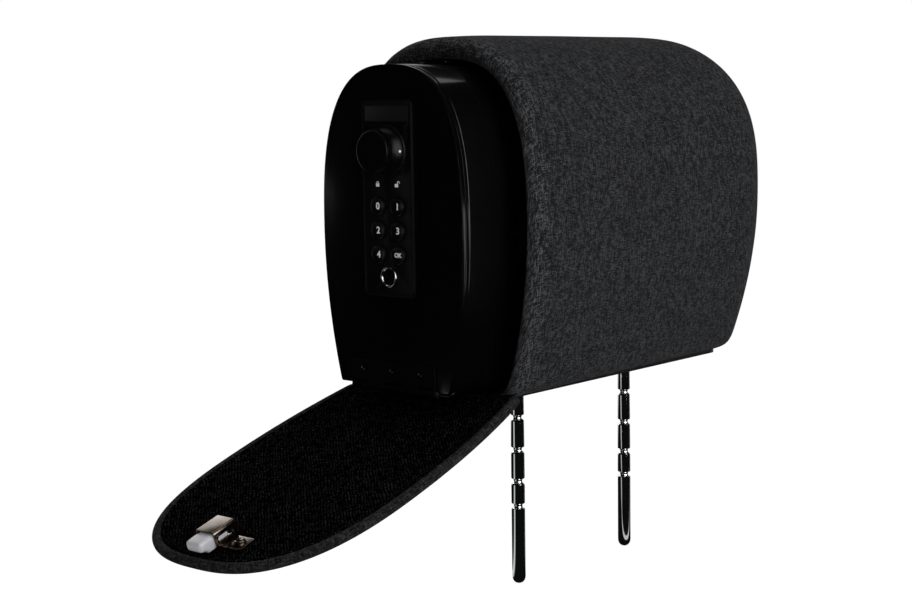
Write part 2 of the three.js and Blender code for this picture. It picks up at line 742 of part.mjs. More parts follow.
// Knob, spindle and pinion
const knobBaseRadius = knobRadius + knobBaseLip;
const knobBaseFront = panelFace - closeGap - knobBaseDepth;
add('knob_base_ring', turned([[spindleRadius + runGap, 0], [knobBaseRadius, 0],
  [knobBaseRadius, knobBaseDepth * 0.6], [knobBaseRadius - 0.6, knobBaseDepth],
  [spindleRadius + runGap, knobBaseDepth], [spindleRadius + runGap, 0]], 28)
  .rotateZ(Math.PI / 2).translate(panelFace - closeGap, 0, lockHeight), finish.plastic, door);
const knobBack = knobBaseFront - runGap;
add('knob', turned([[0, 0], [knobRadius - 0.6, 0], [knobRadius, 0.8], [knobRadius, knobDepth - 1.6],
  [knobRadius - 0.5, knobDepth - 0.6], [knobRadius - 1.6, knobDepth], [0, knobDepth]], 32)
  .rotateZ(Math.PI / 2).translate(knobBack, 0, lockHeight), finish.plastic, group);

const lockFront = doorRear;
const boltFront = lockFront + lockWall + 3.2;
const pitchRadius = pinionTeeth * toothModule / 2;
const pressure = THREE.MathUtils.degToRad(20);

// Involute teeth: half a tooth's angle at a radius
function toothHalfAngle(radius) {
  const base = pitchRadius * Math.cos(pressure);
  const roll = (r) => {
    const ratio = Math.sqrt(Math.max((r / base) ** 2 - 1, 0));
    return ratio - Math.atan(ratio);
  };
  const atPitch = (Math.PI * toothModule / 2 - toothBacklash) / (2 * pitchRadius);
  return atPitch + roll(pitchRadius) - roll(Math.max(radius, base));
}

function pinionOutline() {
  const root = pitchRadius - 1.2 * toothModule;
  const tip = pitchRadius + pinionAddendum;
  const radii = [root, pitchRadius - 0.35, pitchRadius, pitchRadius + 0.45, tip];
  const points = [];
  for (let i = 0; i < pinionTeeth; i += 1) {
    const centre = (i / pinionTeeth) * 2 * Math.PI;
    for (const r of radii) points.push([r, centre - toothHalfAngle(r)]);
    for (const r of [...radii].reverse()) points.push([r, centre + toothHalfAngle(r)]);
  }
  return points.map(([r, a]) => new THREE.Vector2(r * Math.cos(a), lockHeight + r * Math.sin(a)));
}
const spindleEnd = boltFront + boltDepth + 1.5;
add('knob_spindle', join(rodX(spindleRadius, knobBack + gap, boltFront + 0.2, 0, lockHeight, 20),
  prism(pinionOutline(), boltFront + 0.1, boltFront + boltDepth),
  rodX(2.5, boltFront + boltDepth - 1, spindleEnd, 0, lockHeight, 16)), finish.zinc, group);

// Lock bolts: racks on each side of the pinion, which drives them apart
const rackHeight = 7;
const boltReach = vaultHalfWidth - boltSetback;
function rackOutline(side) {
  const pitch = Math.PI * toothModule;
  const near = pitchRadius - rackAddendum;
  const root = pitchRadius + pinionAddendum + 0.3;
  const slope = Math.tan(pressure);
  const halfPitchWidth = (pitch / 2 - toothBacklash) / 2;
  const back = root + rackHeight - 1;
  const points = [[-boltTail, back], [-boltTail, root]];
  for (let i = -5; i <= 2; i += 1) {
    const centre = (i + 0.5) * pitch;
    const foot = halfPitchWidth + (root - pitchRadius) * slope;
    const tip = halfPitchWidth - rackAddendum * slope;
    points.push([centre - foot, root], [centre - tip, near], [centre + tip, near], [centre + foot, root]);
  }
  points.push([boltReach, root], [boltReach, back]);
  return points.map(([y, z]) => new THREE.Vector2(side * y, lockHeight - side * z));
}
const boltRear = boltFront + boltDepth;
for (const [name, side] of [['front', -1], ['back', 1]]) {
  add(`bolt_${name}`, prism(rackOutline(side), boltFront + 0.2, boltRear - 0.2), finish.zinc, group);
}

const rackBack = pitchRadius + pinionAddendum + 0.3 + rackHeight - 1;
const caseRear = lockFront + lockDepth;
const lockCavity = box(lockFront + lockWall, caseRear - lockWall, -lockHalfWidth - over, lockHalfWidth + over,
  lockHeight - rackBack - runGap, lockHeight + rackBack + runGap);
const caseFront = lockFront + gap;
const lockBlank = box(caseFront, caseRear, -lockHalfWidth, lockHalfWidth,
  lockHeight - lockHalfHeight, lockHeight + lockHalfHeight);
const boltPad = (low, high) => box(low, high, -lockHalfWidth, lockHalfWidth,
  lockHeight - rackBack - 1, lockHeight + rackBack + 1);
const plungerY = 12;
const plungerRadius = 2;
const coilX = boltFront + boltDepth / 2;
const caseTop = lockHeight + lockHalfHeight;
add('lock_case', cut(join(cut(lockBlank, lockCavity), boltPad(caseFront, boltFront - runGap + 0.2),
  boltPad(boltRear + runGap - 0.2, caseRear)),
rodX(spindleRadius + runGap, caseFront - over, boltFront + 1, 0, lockHeight, 20),
rodX(2.5 + runGap, boltRear - 1, caseRear + over, 0, lockHeight, 16),
rodZ(plungerRadius + runGap, lockHeight + rackBack - 1, caseTop + over, coilX, plungerY, 16)),
finish.zinc, door);
// Solenoid above the lock case: its plunger drops behind the rack's end when locked
const coilSize = 14;
const coilBottom = caseTop + gap;
const plungerLift = 3;
const plungerEnd = lockHeight + rackBack + runGap;
const plungerTop = coilBottom + 9;
add('solenoid', cut(box(coilX - coilSize / 2 + 0.5, coilX + coilSize / 2, plungerY - 8, plungerY + 8,
  coilBottom, coilBottom + coilSize),
rodZ(plungerRadius + runGap, coilBottom - over, plungerTop + plungerLift + 1, coilX, plungerY, 16)),
finish.zinc, door);
add('solenoid_plunger', rodZ(plungerRadius, plungerEnd, plungerTop, coilX, plungerY, 16), finish.chrome, group);

// Battery box behind the door: one block battery under a rear lid
const batteryLength = 48.5;
const batteryWidth = 26.5;
const batteryDepth = 17;
const batteryCentre = 96;
const batteryWall = 1.5;
const batteryFront = doorRear + gap;
const batteryRear = batteryFront + batteryWall + batteryDepth + 2 * gap;
const boxHalfWidth = batteryLength / 2 + gap + batteryWall;
const boxHalfHeight = batteryWidth / 2 + gap + batteryWall;
add('battery_box', cut(box(batteryFront, batteryRear, -boxHalfWidth, boxHalfWidth,
  batteryCentre - boxHalfHeight, batteryCentre + boxHalfHeight),
box(batteryFront + batteryWall, batteryRear + over, -boxHalfWidth + batteryWall, boxHalfWidth - batteryWall,
  batteryCentre - boxHalfHeight + batteryWall, batteryCentre + boxHalfHeight - batteryWall)),
finish.plastic, door);
add('battery', box(batteryFront + batteryWall + gap, batteryRear - gap, -batteryLength / 2, batteryLength / 2,
  batteryCentre - batteryWidth / 2, batteryCentre + batteryWidth / 2), finish.cell, door);
add('battery_lid', box(batteryRear + gap, batteryRear + gap + batteryWall, -boxHalfWidth, boxHalfWidth,
  batteryCentre - boxHalfHeight, batteryCentre + boxHalfHeight), finish.plastic, door);

// Seal on the door's back, just inside the vault's mouth
const sealSpec = inset(vaultSpec, vaultWall + frameWidth - sealWidth - 1);
const sealFoot = box(doorRear - over, frameRear + over, -vaultHalfWidth, vaultHalfWidth, 0, pocketBottom + 1);
add('door_seal', cut(prism(section(sealSpec), doorRear - gap + 0.1, frameFront - 0.1,
  [section(inset(sealSpec, sealWidth))]), sealFoot), finish.rubber, door);

// Strike plate under the sleeve's roof, in front of which the flap's catch snaps in
const noseRoom = 0.7;
const noseFront = flapHingeX + noseLow - noseRoom;
const noseBack = flapHingeX + noseHigh + noseRoom;
const strikeRear = noseBack + 10;
const strikeSlot = box(noseFront, noseBack, -noseWidth / 2 - noseRoom, noseWidth / 2 + noseRoom,
  strikeTop - over, strikeTop + over);
const padHalf = 4;
const strikePad = box(sleeveFront + gap, strikeRear, -padHalf, padHalf,
  strikeTop - strikeThickness / 2, sleeveSpec.top - 0.5);
add('strike_plate', join(cut(box(noseFront - strikeBar, strikeRear, -strikeHalf, strikeHalf,
  strikeTop - strikeThickness, strikeTop), strikeSlot), strikePad), finish.black);

// Flap hinge: the fixed leaf lies in the base tray and runs forward under the mouth
const middleHalf = 18;
const flapKnuckles = [[-flapHingeHalf, -middleHalf], [-middleHalf + runGap, middleHalf - runGap],
  [middleHalf, flapHingeHalf]];
const flapLeafHalf = trayHalfWidth - trayWall - 2;
const fixedFlapLeaf = box(flapHingeX + knuckleRadius + runGap, flapLeafRear, -flapLeafHalf, flapLeafHalf,
  trayThickness + gap, flapLeafTop);
const leafBridge = box(flapHingeX, trayFront - 4 * gap, -flapHingeHalf, flapHingeHalf,
  trayThickness + gap, flapLeafTop);
const middleRoom = box(flapHingeX - over, flapHingeX + knuckleRadius + runGap, -middleHalf, middleHalf,
  0, flapLeafTop + over);
const flapPinRoom = rodY(knucklePinRadius + closeGap, -flapHingeHalf - over, flapHingeHalf + over,
  flapHingeX, flapHingeZ, 16);
add('flap_hinge_fixed_leaf', cut(join(fixedFlapLeaf, cut(leafBridge, middleRoom),
  ...[0, 2].map((i) => rodY(knuckleRadius, ...flapKnuckles[i], flapHingeX, flapHingeZ, 16))), flapPinRoom),
finish.black);
add('flap_hinge_pin', rodY(knucklePinRadius, -flapHingeHalf + 0.5, flapHingeHalf - 0.5,
  flapHingeX, flapHingeZ, 12), finish.zinc);

// Flap, in its own closed frame: x is w, y across, z is u
const flap = new THREE.Group();
flap.position.set(flapHingeX, 0, flapHingeZ);
flap.rotation.y = -THREE.MathUtils.degToRad(flapOpenAngle);
group.add(flap);
const flapStart = knuckleRadius + 1;
const flapSpec = {
  half: flapHalfWidth, foot: flapFoot, bottom: flapStart, top: flapLength, wide: flapWideRise, corner: 6,
};
const layerSpec = { ...inset(flapSpec, 2 * bindingRadius + 4 * gap), bottom: flapStart };
const leafRoom = box(-over, over, -flapHingeHalf, flapHingeHalf, -over, knuckleRadius + runGap);
const boardBack = boardLevel - boardThickness;
const leafBack = boardLevel + gap;
const leafFace = leafBack + flapLeaf;
const movingLeafHalf = middleHalf - 1;
add('flap_board', cut(prism(section(layerSpec), boardBack, boardLevel), leafRoom), finish.board, flap);
add('flap_cover', prism(section(layerSpec), boardBack - gap - fabricThickness, boardBack - gap),
  finish.cloth, flap);
add('flap_hinge_moving_leaf', cut(join(rodY(knuckleRadius, ...flapKnuckles[1], 0, 0, 16),
  box(leafBack, leafFace, -movingLeafHalf, movingLeafHalf, 0, flapLeafHeight)),
rodY(knucklePinRadius + closeGap, -flapHingeHalf, flapHingeHalf, 0, 0, 16)), finish.black, flap);
const liningBack = boardLevel + gap;
const liningFace = leafFace + gap + liningThickness;
const leafPocket = box(boardLevel - over, leafFace + gap, -movingLeafHalf - gap, movingLeafHalf + gap,
  -over, flapLeafHeight + gap);
add('flap_lining', cut(prism(section(layerSpec), liningBack, liningFace), leafPocket, leafRoom),
  finish.lining, flap);

// Binding roll: a tube along the outline from one foot of the flap to the other
function bindingPath() {
  const outline = section(inset(flapSpec, bindingRadius));
  const first = outline.findIndex((p) => p.y > flapStart + bindingRadius);
  const foot = (side) => new THREE.Vector3(bindingLevel, side * outline[first].x, flapStart + gap);
  const rise = outline.slice(first, outline.length - first)
    .map((p) => new THREE.Vector3(bindingLevel, p.x, p.y));
  return new THREE.CatmullRomCurve3([foot(1), ...rise, foot(-1)], false, 'centripetal');
}
const bindingSection = new THREE.Shape(circle(bindingRadius, 0, 0, 8));
add('flap_binding', new THREE.ExtrudeGeometry(bindingSection, {
  steps: 52, bevelEnabled: false, extrudePath: bindingPath(),
}), finish.binding, flap);

// Catch near the flap's tip: a bent strip case with two feet and a sprung nose
const caseBottom = liningFace + gap;
const catchTop = caseBottom + catchHeight;
const catchStart = catchEnd - catchNose - catchLength;
const catchHalf = catchWidth / 2;
const footReach = 11;
const caseHollow = box(caseBottom + catchSheet, catchTop - catchSheet, -catchHalf + catchSheet,
  catchHalf - catchSheet, catchStart - over, catchEnd);
const slotLength = catchLength - 5;
const sideSlot = box(noseLow + 1.8, noseHigh - 2.4, -catchHalf - over, catchHalf + over,
  catchStart + 2.5, catchStart + 2.5 + slotLength);
const footStrip = box(caseBottom, caseBottom + catchSheet, -catchHalf - footReach, catchHalf + footReach,
  catchStart + 1, catchStart + catchLength - 1);
add('catch_case', join(cut(box(caseBottom, catchTop, -catchHalf, catchHalf, catchStart,
  catchStart + catchLength), caseHollow, sideSlot), footStrip), finish.nickel, flap);
const screwRadius = 3;
const screwHeight = 1.8;
for (const [name, side] of sides) {
  const head = turned([[0, 0], [screwRadius, 0], [screwRadius, screwHeight * 0.45],
    [screwRadius * 0.8, screwHeight * 0.85], [0, screwHeight]], 14).rotateZ(-Math.PI / 2);
  add(`catch_screw_${name}`, head.translate(caseBottom + catchSheet + gap,
    side * (catchHalf + footReach / 2 + 1), catchStart + catchLength / 2), finish.nickel, flap);
}

// The nose fills its case, then rises over the binding to reach the strike
const noseTail = catchStart + plungerTravel + 1.5;
const nosePlan = [[-noseWidth / 2, noseTail], [noseWidth / 2, noseTail],
  [noseWidth / 2, catchEnd - noseBevel * 1.6], [noseWidth / 2 - noseBevel * 0.5, catchEnd - noseBevel * 0.5],
  [noseWidth / 2 - noseBevel * 1.6, catchEnd], [-noseWidth / 2 + noseBevel * 1.6, catchEnd],
  [-noseWidth / 2 + noseBevel * 0.5, catchEnd - noseBevel * 0.5], [-noseWidth / 2, catchEnd - noseBevel * 1.6]];
const noseFoot = caseBottom + catchSheet + gap;
const noseRise = flapLength - 2 * bindingRadius - 4.5;
const noseSide = [[noseFoot, noseTail], [noseFoot, noseRise], [noseLow, catchEnd - 1], [noseLow + 1, catchEnd],
  [noseHigh - 3.4, catchEnd], [noseHigh - 1, catchEnd - 2.2], [noseHigh, catchEnd - 5.5], [noseHigh, noseTail]];
const acrossY = new THREE.Matrix4().makeBasis(
  new THREE.Vector3(1, 0, 0), new THREE.Vector3(0, 0, 1), new THREE.Vector3(0, -1, 0));
const noseSlab = new THREE.ExtrudeGeometry(new THREE.Shape(noseSide.map(([w, u]) => new THREE.Vector2(w, u))),
  { depth: noseWidth + 2, bevelEnabled: false }).applyMatrix4(acrossY).translate(0, noseWidth / 2 + 1, 0);
add('catch_plunger', common(prism(nosePlan.map(([y, u]) => new THREE.Vector2(y, u)), 0, noseHigh + over),
  noseSlab), finish.nylon, flap);

export default group;
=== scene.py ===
import json
import math
from functools import reduce
import bmesh
import bpy
import numpy as np
from mathutils import Matrix, Vector


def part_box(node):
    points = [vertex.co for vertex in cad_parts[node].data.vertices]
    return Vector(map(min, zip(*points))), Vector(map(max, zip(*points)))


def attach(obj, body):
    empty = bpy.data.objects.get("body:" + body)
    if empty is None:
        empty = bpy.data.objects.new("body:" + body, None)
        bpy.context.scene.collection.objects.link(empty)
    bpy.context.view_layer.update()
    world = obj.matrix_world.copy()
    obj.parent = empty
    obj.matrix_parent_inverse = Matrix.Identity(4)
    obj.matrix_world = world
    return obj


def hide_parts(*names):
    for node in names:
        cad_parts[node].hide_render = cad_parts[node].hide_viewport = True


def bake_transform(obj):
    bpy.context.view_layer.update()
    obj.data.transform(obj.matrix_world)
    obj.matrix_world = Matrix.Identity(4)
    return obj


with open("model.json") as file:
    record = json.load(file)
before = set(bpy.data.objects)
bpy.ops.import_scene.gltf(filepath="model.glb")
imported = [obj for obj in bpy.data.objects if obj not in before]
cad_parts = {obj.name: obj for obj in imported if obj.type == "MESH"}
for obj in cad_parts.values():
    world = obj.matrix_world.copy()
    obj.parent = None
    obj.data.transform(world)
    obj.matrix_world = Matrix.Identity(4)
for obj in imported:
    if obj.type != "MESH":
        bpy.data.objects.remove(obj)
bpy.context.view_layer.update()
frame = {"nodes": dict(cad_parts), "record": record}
mm = 0.001
random = np.random.default_rng(7)

# sections of the headrest, the vault and the flap, in millimetres
bodyForm = {
    "near": -143.0, "far": 168.3, "half": 83.0, "top": 252.5, "wide": 138.0,
    "footNear": 66.0, "footFar": 54.0, "bottomNear": 4.8, "bottomFar": 5.4,
    "corner": 13.0, "topRadius": 76.0, "planRadius": 50.0, "heelRadius": 31.0,
}
vaultForm = {"half": 62.6, "foot": 47.7, "bottom": 13.0, "top": 233.6, "wide": 124.6,
             "corner": 9.0}
sleeveForm = {"half": 75.0, "foot": 51.7, "bottom": 12.0, "top": 236.6, "wide": 124.6,
              "corner": 11.0}
mouthForm = {"half": 75.0, "foot": 53.7, "bottom": 9.8, "top": 236.2, "wide": 124.6,
             "corner": 11.0}
flapForm = {"half": 85.0, "foot": 75.0, "bottom": 3.6, "top": 236.0, "wide": 112.0,
            "corner": 6.0}
topPower = 2.65  # how square the top's curve is
outlineSteps = {"corner": 24, "side": 40, "crown": 200}


def insetForm(form, by):
    return {**form, "half": form["half"] - by, "foot": form["foot"] - by,
            "bottom": form["bottom"] + by, "top": form["top"] - by,
            "corner": max(form["corner"] - by, 1.0)}


def lengths(points):
    # distance along a polyline at each of its points
    steps = np.linalg.norm(np.diff(points, axis=0), axis=1)
    return np.concatenate([[0.0], np.cumsum(steps)])


def resample(points, count):
    # evenly spaced points along a polyline
    points = np.array(points, float)
    along = lengths(points)
    wanted = np.linspace(0.0, along[-1], count)
    return np.stack([np.interp(wanted, along, column) for column in points.T], 1)


def halfOutline(form):
    # from the foot's middle, up the +Y side to the top's middle
    half, foot, wide = form["half"], form["foot"], form["wide"]
    bottom, top, corner = form["bottom"], form["top"], form["corner"]
    lean = math.atan(2 * (half - foot) / (wide - bottom))
    centre = foot - corner * (1 - math.sin(lean)) / math.cos(lean)
    side = [(0.0, bottom)]
    for a in np.linspace(-math.pi / 2, -lean, outlineSteps["corner"]):
        side.append((centre + corner * math.cos(a), bottom + corner + corner * math.sin(a)))
    for z in np.linspace(side[-1][1], wide, outlineSteps["side"])[1:]:
        side.append((half - (half - foot) * ((wide - z) / (wide - bottom)) ** 2, z))
    for t in np.linspace(0.0, 1.0, outlineSteps["crown"])[1:]:
        a = (t - math.sin(2 * math.pi * t) / (2 * math.pi)) * math.pi / 2
        side.append((half * max(math.cos(a), 0.0) ** (2 / topPower),
                     wide + (top - wide) * math.sin(a) ** (2 / topPower)))
    return np.array(side)


def mirrored(points):
    # a half outline and its mirror image, which share the last point
    return np.concatenate([points, points[-2::-1] * np.array([-1.0, 1.0])])


def sectionOutline(form, count):
    # closed, evenly spaced; count is even
    return mirrored(resample(halfOutline(form), count // 2 + 1))[:-1]


def bodyOutline(x, count, by=0.0):
    # the headrest's outline at a station, rounded off towards the far end
    body = bodyForm
    along = min(max((x - body["near"]) / (body["far"] - body["near"]), 0.0), 1.0)

    def drop(radius):
        into = x - (body["far"] - radius)
        return 0.0 if into <= 0 else radius - math.sqrt(max(radius ** 2 - into ** 2, 0.0))

    plan = drop(body["planRadius"])
    foot = body["footNear"] + along * (body["footFar"] - body["footNear"])
    bottom = body["bottomNear"] + along * (body["bottomFar"] - body["bottomNear"])
    return sectionOutline(insetForm({
        "half": body["half"] - plan, "foot": foot * (body["half"] - plan) / body["half"],
        "bottom": bottom + drop(body["heelRadius"]), "top": body["top"] - drop(body["topRadius"]),
        "wide": body["wide"], "corner": body["corner"],
    }, by), count)


def boxOutline(y0, y1, z0, z1):
    return np.array([(y0, z0), (y1, z0), (y1, z1), (y0, z1)], float)


def circleOutline(radius, y, z, count=48):
    angles = np.linspace(0, 2 * math.pi, count, endpoint=False)
    return np.array([(y + radius * math.cos(a), z + radius * math.sin(a)) for a in angles])


def roundedOutline(width, height, radius, z=0.0, y=0.0, steps=8):
    points = []
    for cy, cz, start in ((1, -1, -90), (1, 1, 0), (-1, 1, 90), (-1, -1, 180)):
        for a in np.radians(np.linspace(start, start + 90, steps)):
            points.append((y + cy * (width / 2 - radius) + radius * math.cos(a),
                           z + cz * (height / 2 - radius) + radius * math.sin(a)))
    return np.array(points)


# where an outline's two numbers and its depth go
axesX = np.eye(3)[[1, 2, 0]]  # (y, z), depth along X
axesY = np.eye(3)[[0, 2, 1]]  # (x, z), depth along Y
axesZ = np.eye(3)[[1, 0, 2]]  # (y, x), depth along Z
flapHinge = {"place": (-160.0, 0.0, 6.0), "open": 108.0}


def flapFrame():
    # rows: out of the lining, across, and up the flap
    a = math.radians(flapHinge["open"])
    return np.array([(math.cos(a), 0, math.sin(a)), (0, 1, 0), (-math.sin(a), 0, math.cos(a))])


def flapPoint(points):
    return np.array(points, float) @ flapFrame() + np.array(flapHinge["place"])


def newPiece(name, mesh):
    piece = bpy.data.objects.new(name, mesh)
    bpy.context.collection.objects.link(piece)
    return piece


def pieceFrom(name, points, faces=(), edges=()):
    # points in millimetres
    mesh = bpy.data.meshes.new(name)
    mesh.from_pydata([tuple(p) for p in np.array(points, float) * mm], edges, faces)
    mesh.validate()
    return newPiece(name, mesh)


def lineOf(name, points):
    return pieceFrom(name, points, edges=[(i, i + 1) for i in range(len(points) - 1)])


def coordsOf(mesh):
    spots = np.empty(len(mesh.vertices) * 3, np.float32)
    mesh.vertices.foreach_get("co", spots)
    return spots.reshape(-1, 3)


def placePoints(piece, spots):
    piece.data.vertices.foreach_set("co", spots.astype(np.float32).ravel())
    piece.data.update()
    return piece


def movedBy(piece, axes, place):
    # from a local frame, whose rows are its axes, to its place in the scene
    spots = coordsOf(piece.data) @ np.array(axes, float) + np.array(place, float) * mm
    return placePoints(piece, spots)


def reworked(piece, merge=0.0, flat=0.0, outward=False):
    # points merged, flat edges dissolved, faces turned outwards
    work = bmesh.new()
    work.from_mesh(piece.data)
    if merge:
        bmesh.ops.remove_doubles(work, verts=work.verts[:], dist=merge)
    if flat:
        bmesh.ops.dissolve_limit(work, angle_limit=flat, verts=work.verts[:],
                                 edges=work.edges[:])
    if outward:
        bmesh.ops.recalc_face_normals(work, faces=work.faces[:])
    work.to_mesh(piece.data)
    work.free()
    return piece


def settle(piece):
    # the modifiers' result as a plain mesh
    graph = bpy.context.evaluated_depsgraph_get()
    made = bpy.data.meshes.new_from_object(piece.evaluated_get(graph))
    piece.modifiers.clear()
    piece.data = made
    return piece


def bridge(low, high):
    # faces between two rings, or between a ring and a point
    count = max(len(low), len(high))
    faces = []
    for j in range(count):
        k = (j + 1) % count
        corners = (low[j % len(low)], low[k % len(low)], high[k % len(high)], high[j % len(high)])
        faces.append(tuple(dict.fromkeys(corners)))
    return faces


def lofted(name, rings, loop=False):
    # a closed form through rings of points, ended by caps or by single points
    starts = np.cumsum([0] + [len(ring) for ring in rings])
    rows = [list(range(a, b)) for a, b in zip(starts[:-1], starts[1:])]
    faces = [face for low, high in zip(rows[:-1], rows[1:]) for face in bridge(low, high)]
    if loop:
        faces += bridge(rows[-1], rows[0])
    else:
        faces += [tuple(row) for row in (rows[0][::-1], rows[-1]) if len(row) > 1]
    return reworked(pieceFrom(name, np.concatenate(rings), faces), outward=True)


def prism(name, outline, low, high, axes=axesX):
    # an outline carried from low to high
    ends = [np.column_stack([outline, np.full(len(outline), depth)]) for depth in (low, high)]
    return lofted(name, [end @ axes for end in ends])


def block(name, x, y, z):
    return prism(name, boxOutline(*y, *z), *x)


def turned(name, profile, place, count=48, axis=(-1, 0, 0)):
    # a lathe profile of (radius, height): it starts and ends on the axis, or closes a ring
    axis = Vector(axis).normalized()
    upright = abs(axis.z) > 0.9
    side = axis.orthogonal() if upright else Vector((0, 0, 1)).cross(axis)
    side.normalize()
    up = axis.cross(side)
    rings = []
    for radius, height in profile:
        centre = Vector(place) + axis * height
        if radius < 1e-6:
            rings.append([centre])
            continue
        angles = np.linspace(0, 2 * math.pi, count, endpoint=False)
        rings.append([centre + side * (radius * math.cos(a)) + up * (radius * math.sin(a))
                      for a in angles])
    return lofted(name, [np.array(ring) for ring in rings], loop=len(rings[0]) > 1)


def combine(piece, tools, operation="DIFFERENCE"):
    for tool in tools:
        change = piece.modifiers.new("change", "BOOLEAN")
        change.operation = operation
        change.solver = "MANIFOLD"
        change.object = tool
        settle(piece)
        bpy.data.objects.remove(tool)
    return piece


def cutAway(piece, *tools):
    return combine(piece, tools)


def roundEdges(piece, width, segments=2, angle=35):
    bevel = piece.modifiers.new("edge", "BEVEL")
    bevel.width = width * mm
    bevel.segments = segments
    bevel.limit_method = "ANGLE"
    bevel.angle_limit = math.radians(angle)
    return settle(piece)


def layMap(piece, spotsOf):
    # the cloth's own map, in metres: spotsOf places a face's corners
    cloth = piece.data.uv_layers.new(name="cloth")
    for face in piece.data.polygons:
        for loop, spot in zip(face.loop_indices, spotsOf(list(face.vertices))):
            cloth.data[loop].uv = spot
    return piece


def dress(piece, look, angle=35):
    piece.data.materials.clear()
    piece.data.materials.append(finish[look])
    piece.data.shade_smooth()
    piece.data.set_sharp_from_angle(angle=math.radians(angle))
    return piece


def finishPiece(piece, body, look, nodes=(), angle=35):
    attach(dress(piece, look, angle), body)
    if nodes:
        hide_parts(*nodes)
    return piece


def refined(node, body, look, slot, width, name=None):
    # a copy of a CAD part with merged faces and rounded edges
    first, *rest = node.split("_")
    piece = newPiece(name or first + "".join(word.capitalize() for word in rest),
                     frame["nodes"][node].data.copy())
    reworked(piece, merge=1e-6, flat=math.radians(1))
    for key in list(piece.data.keys()):
        del piece.data[key]
    return finishPiece(roundEdges(piece, width), body, look, [node])


# node helpers: an input takes a socket, a number, or a colour of one or three numbers
def feed(tree, socket, value):
    if isinstance(value, bpy.types.NodeSocket):
        tree.links.new(value, socket)
        return
    if socket.type == "RGBA":
        value = (*rgb(value), 1)
    socket.default_value = value


def rgb(colour):
    return (colour,) * 3 if isinstance(colour, float) else tuple(colour)[:3]


def feedAll(tree, node, **values):
    for label, value in values.items():
        feed(tree, node.inputs[label.replace("_", " ")], value)
    return node


def newNode(tree, kind, settings=(), **values):
    node = tree.nodes.new(kind)
    for label, value in dict(settings).items():
        setattr(node, label, value)
    return feedAll(tree, node, **values)


def calc(tree, operation, *values, kind="ShaderNodeMath", out=0):
    node = newNode(tree, kind, {"operation": operation})
    for socket, value in zip(node.inputs, values):
        feed(tree, socket, value)
    return node.outputs[out]


def vectorCalc(tree, operation, *values, out=0):
    return calc(tree, operation, *values, kind="ShaderNodeVectorMath", out=out)


def times(tree, *values):
    return reduce(lambda first, second: calc(tree, "MULTIPLY", first, second), values)


def plus(tree, *values):
    return reduce(lambda first, second: calc(tree, "ADD", first, second), values)


def arch(tree, value):
    # 0 at whole numbers, 1 halfway between them
    return calc(tree, "ABSOLUTE", calc(tree, "SINE", times(tree, value, math.pi)))


def spread(tree, value, low, high, toLow=0.0, toHigh=1.0):
    # a value's range turned into another, clamped
    return newNode(tree, "ShaderNodeMapRange", Value=value, From_Min=low, From_Max=high,
                   To_Min=toLow, To_Max=toHigh).outputs["Result"]


def noise(tree, vector, scale, detail=2.0, roughness=0.5, distortion=0.0):
    return newNode(tree, "ShaderNodeTexNoise", Vector=vector, Scale=scale, Detail=detail,
                   Roughness=roughness, Distortion=distortion).outputs["Fac"]


def blendColour(tree, factor, first, second):
    return newNode(tree, "ShaderNodeMix", {"data_type": "RGBA"}, Factor=factor, A=first,
                   B=second).outputs["Result"]


def axisParts(tree, vector):
    return newNode(tree, "ShaderNodeSeparateXYZ", Vector=vector).outputs


def newTree(name, kind, inputs, outputs):
    tree = bpy.data.node_groups.new(name, kind)
    for label, socketKind, *start in inputs:
        socket = tree.interface.new_socket(label, in_out="INPUT",
                                           socket_type="NodeSocket" + socketKind)
        if start:
            socket.default_value = start[0]
    for label, socketKind in outputs:
        tree.interface.new_socket(label, in_out="OUTPUT", socket_type="NodeSocket" + socketKind)
    return (tree, tree.nodes.new("NodeGroupInput").outputs,
            tree.nodes.new("NodeGroupOutput").inputs)


# gap: the colour of the painted shade between threads
weave = {"wander": 55.0, "wanderReach": 0.0012, "lane": 7.31, "run": 0.17, "seeds": (3.1, 8.7),
         "gap": 0.002}


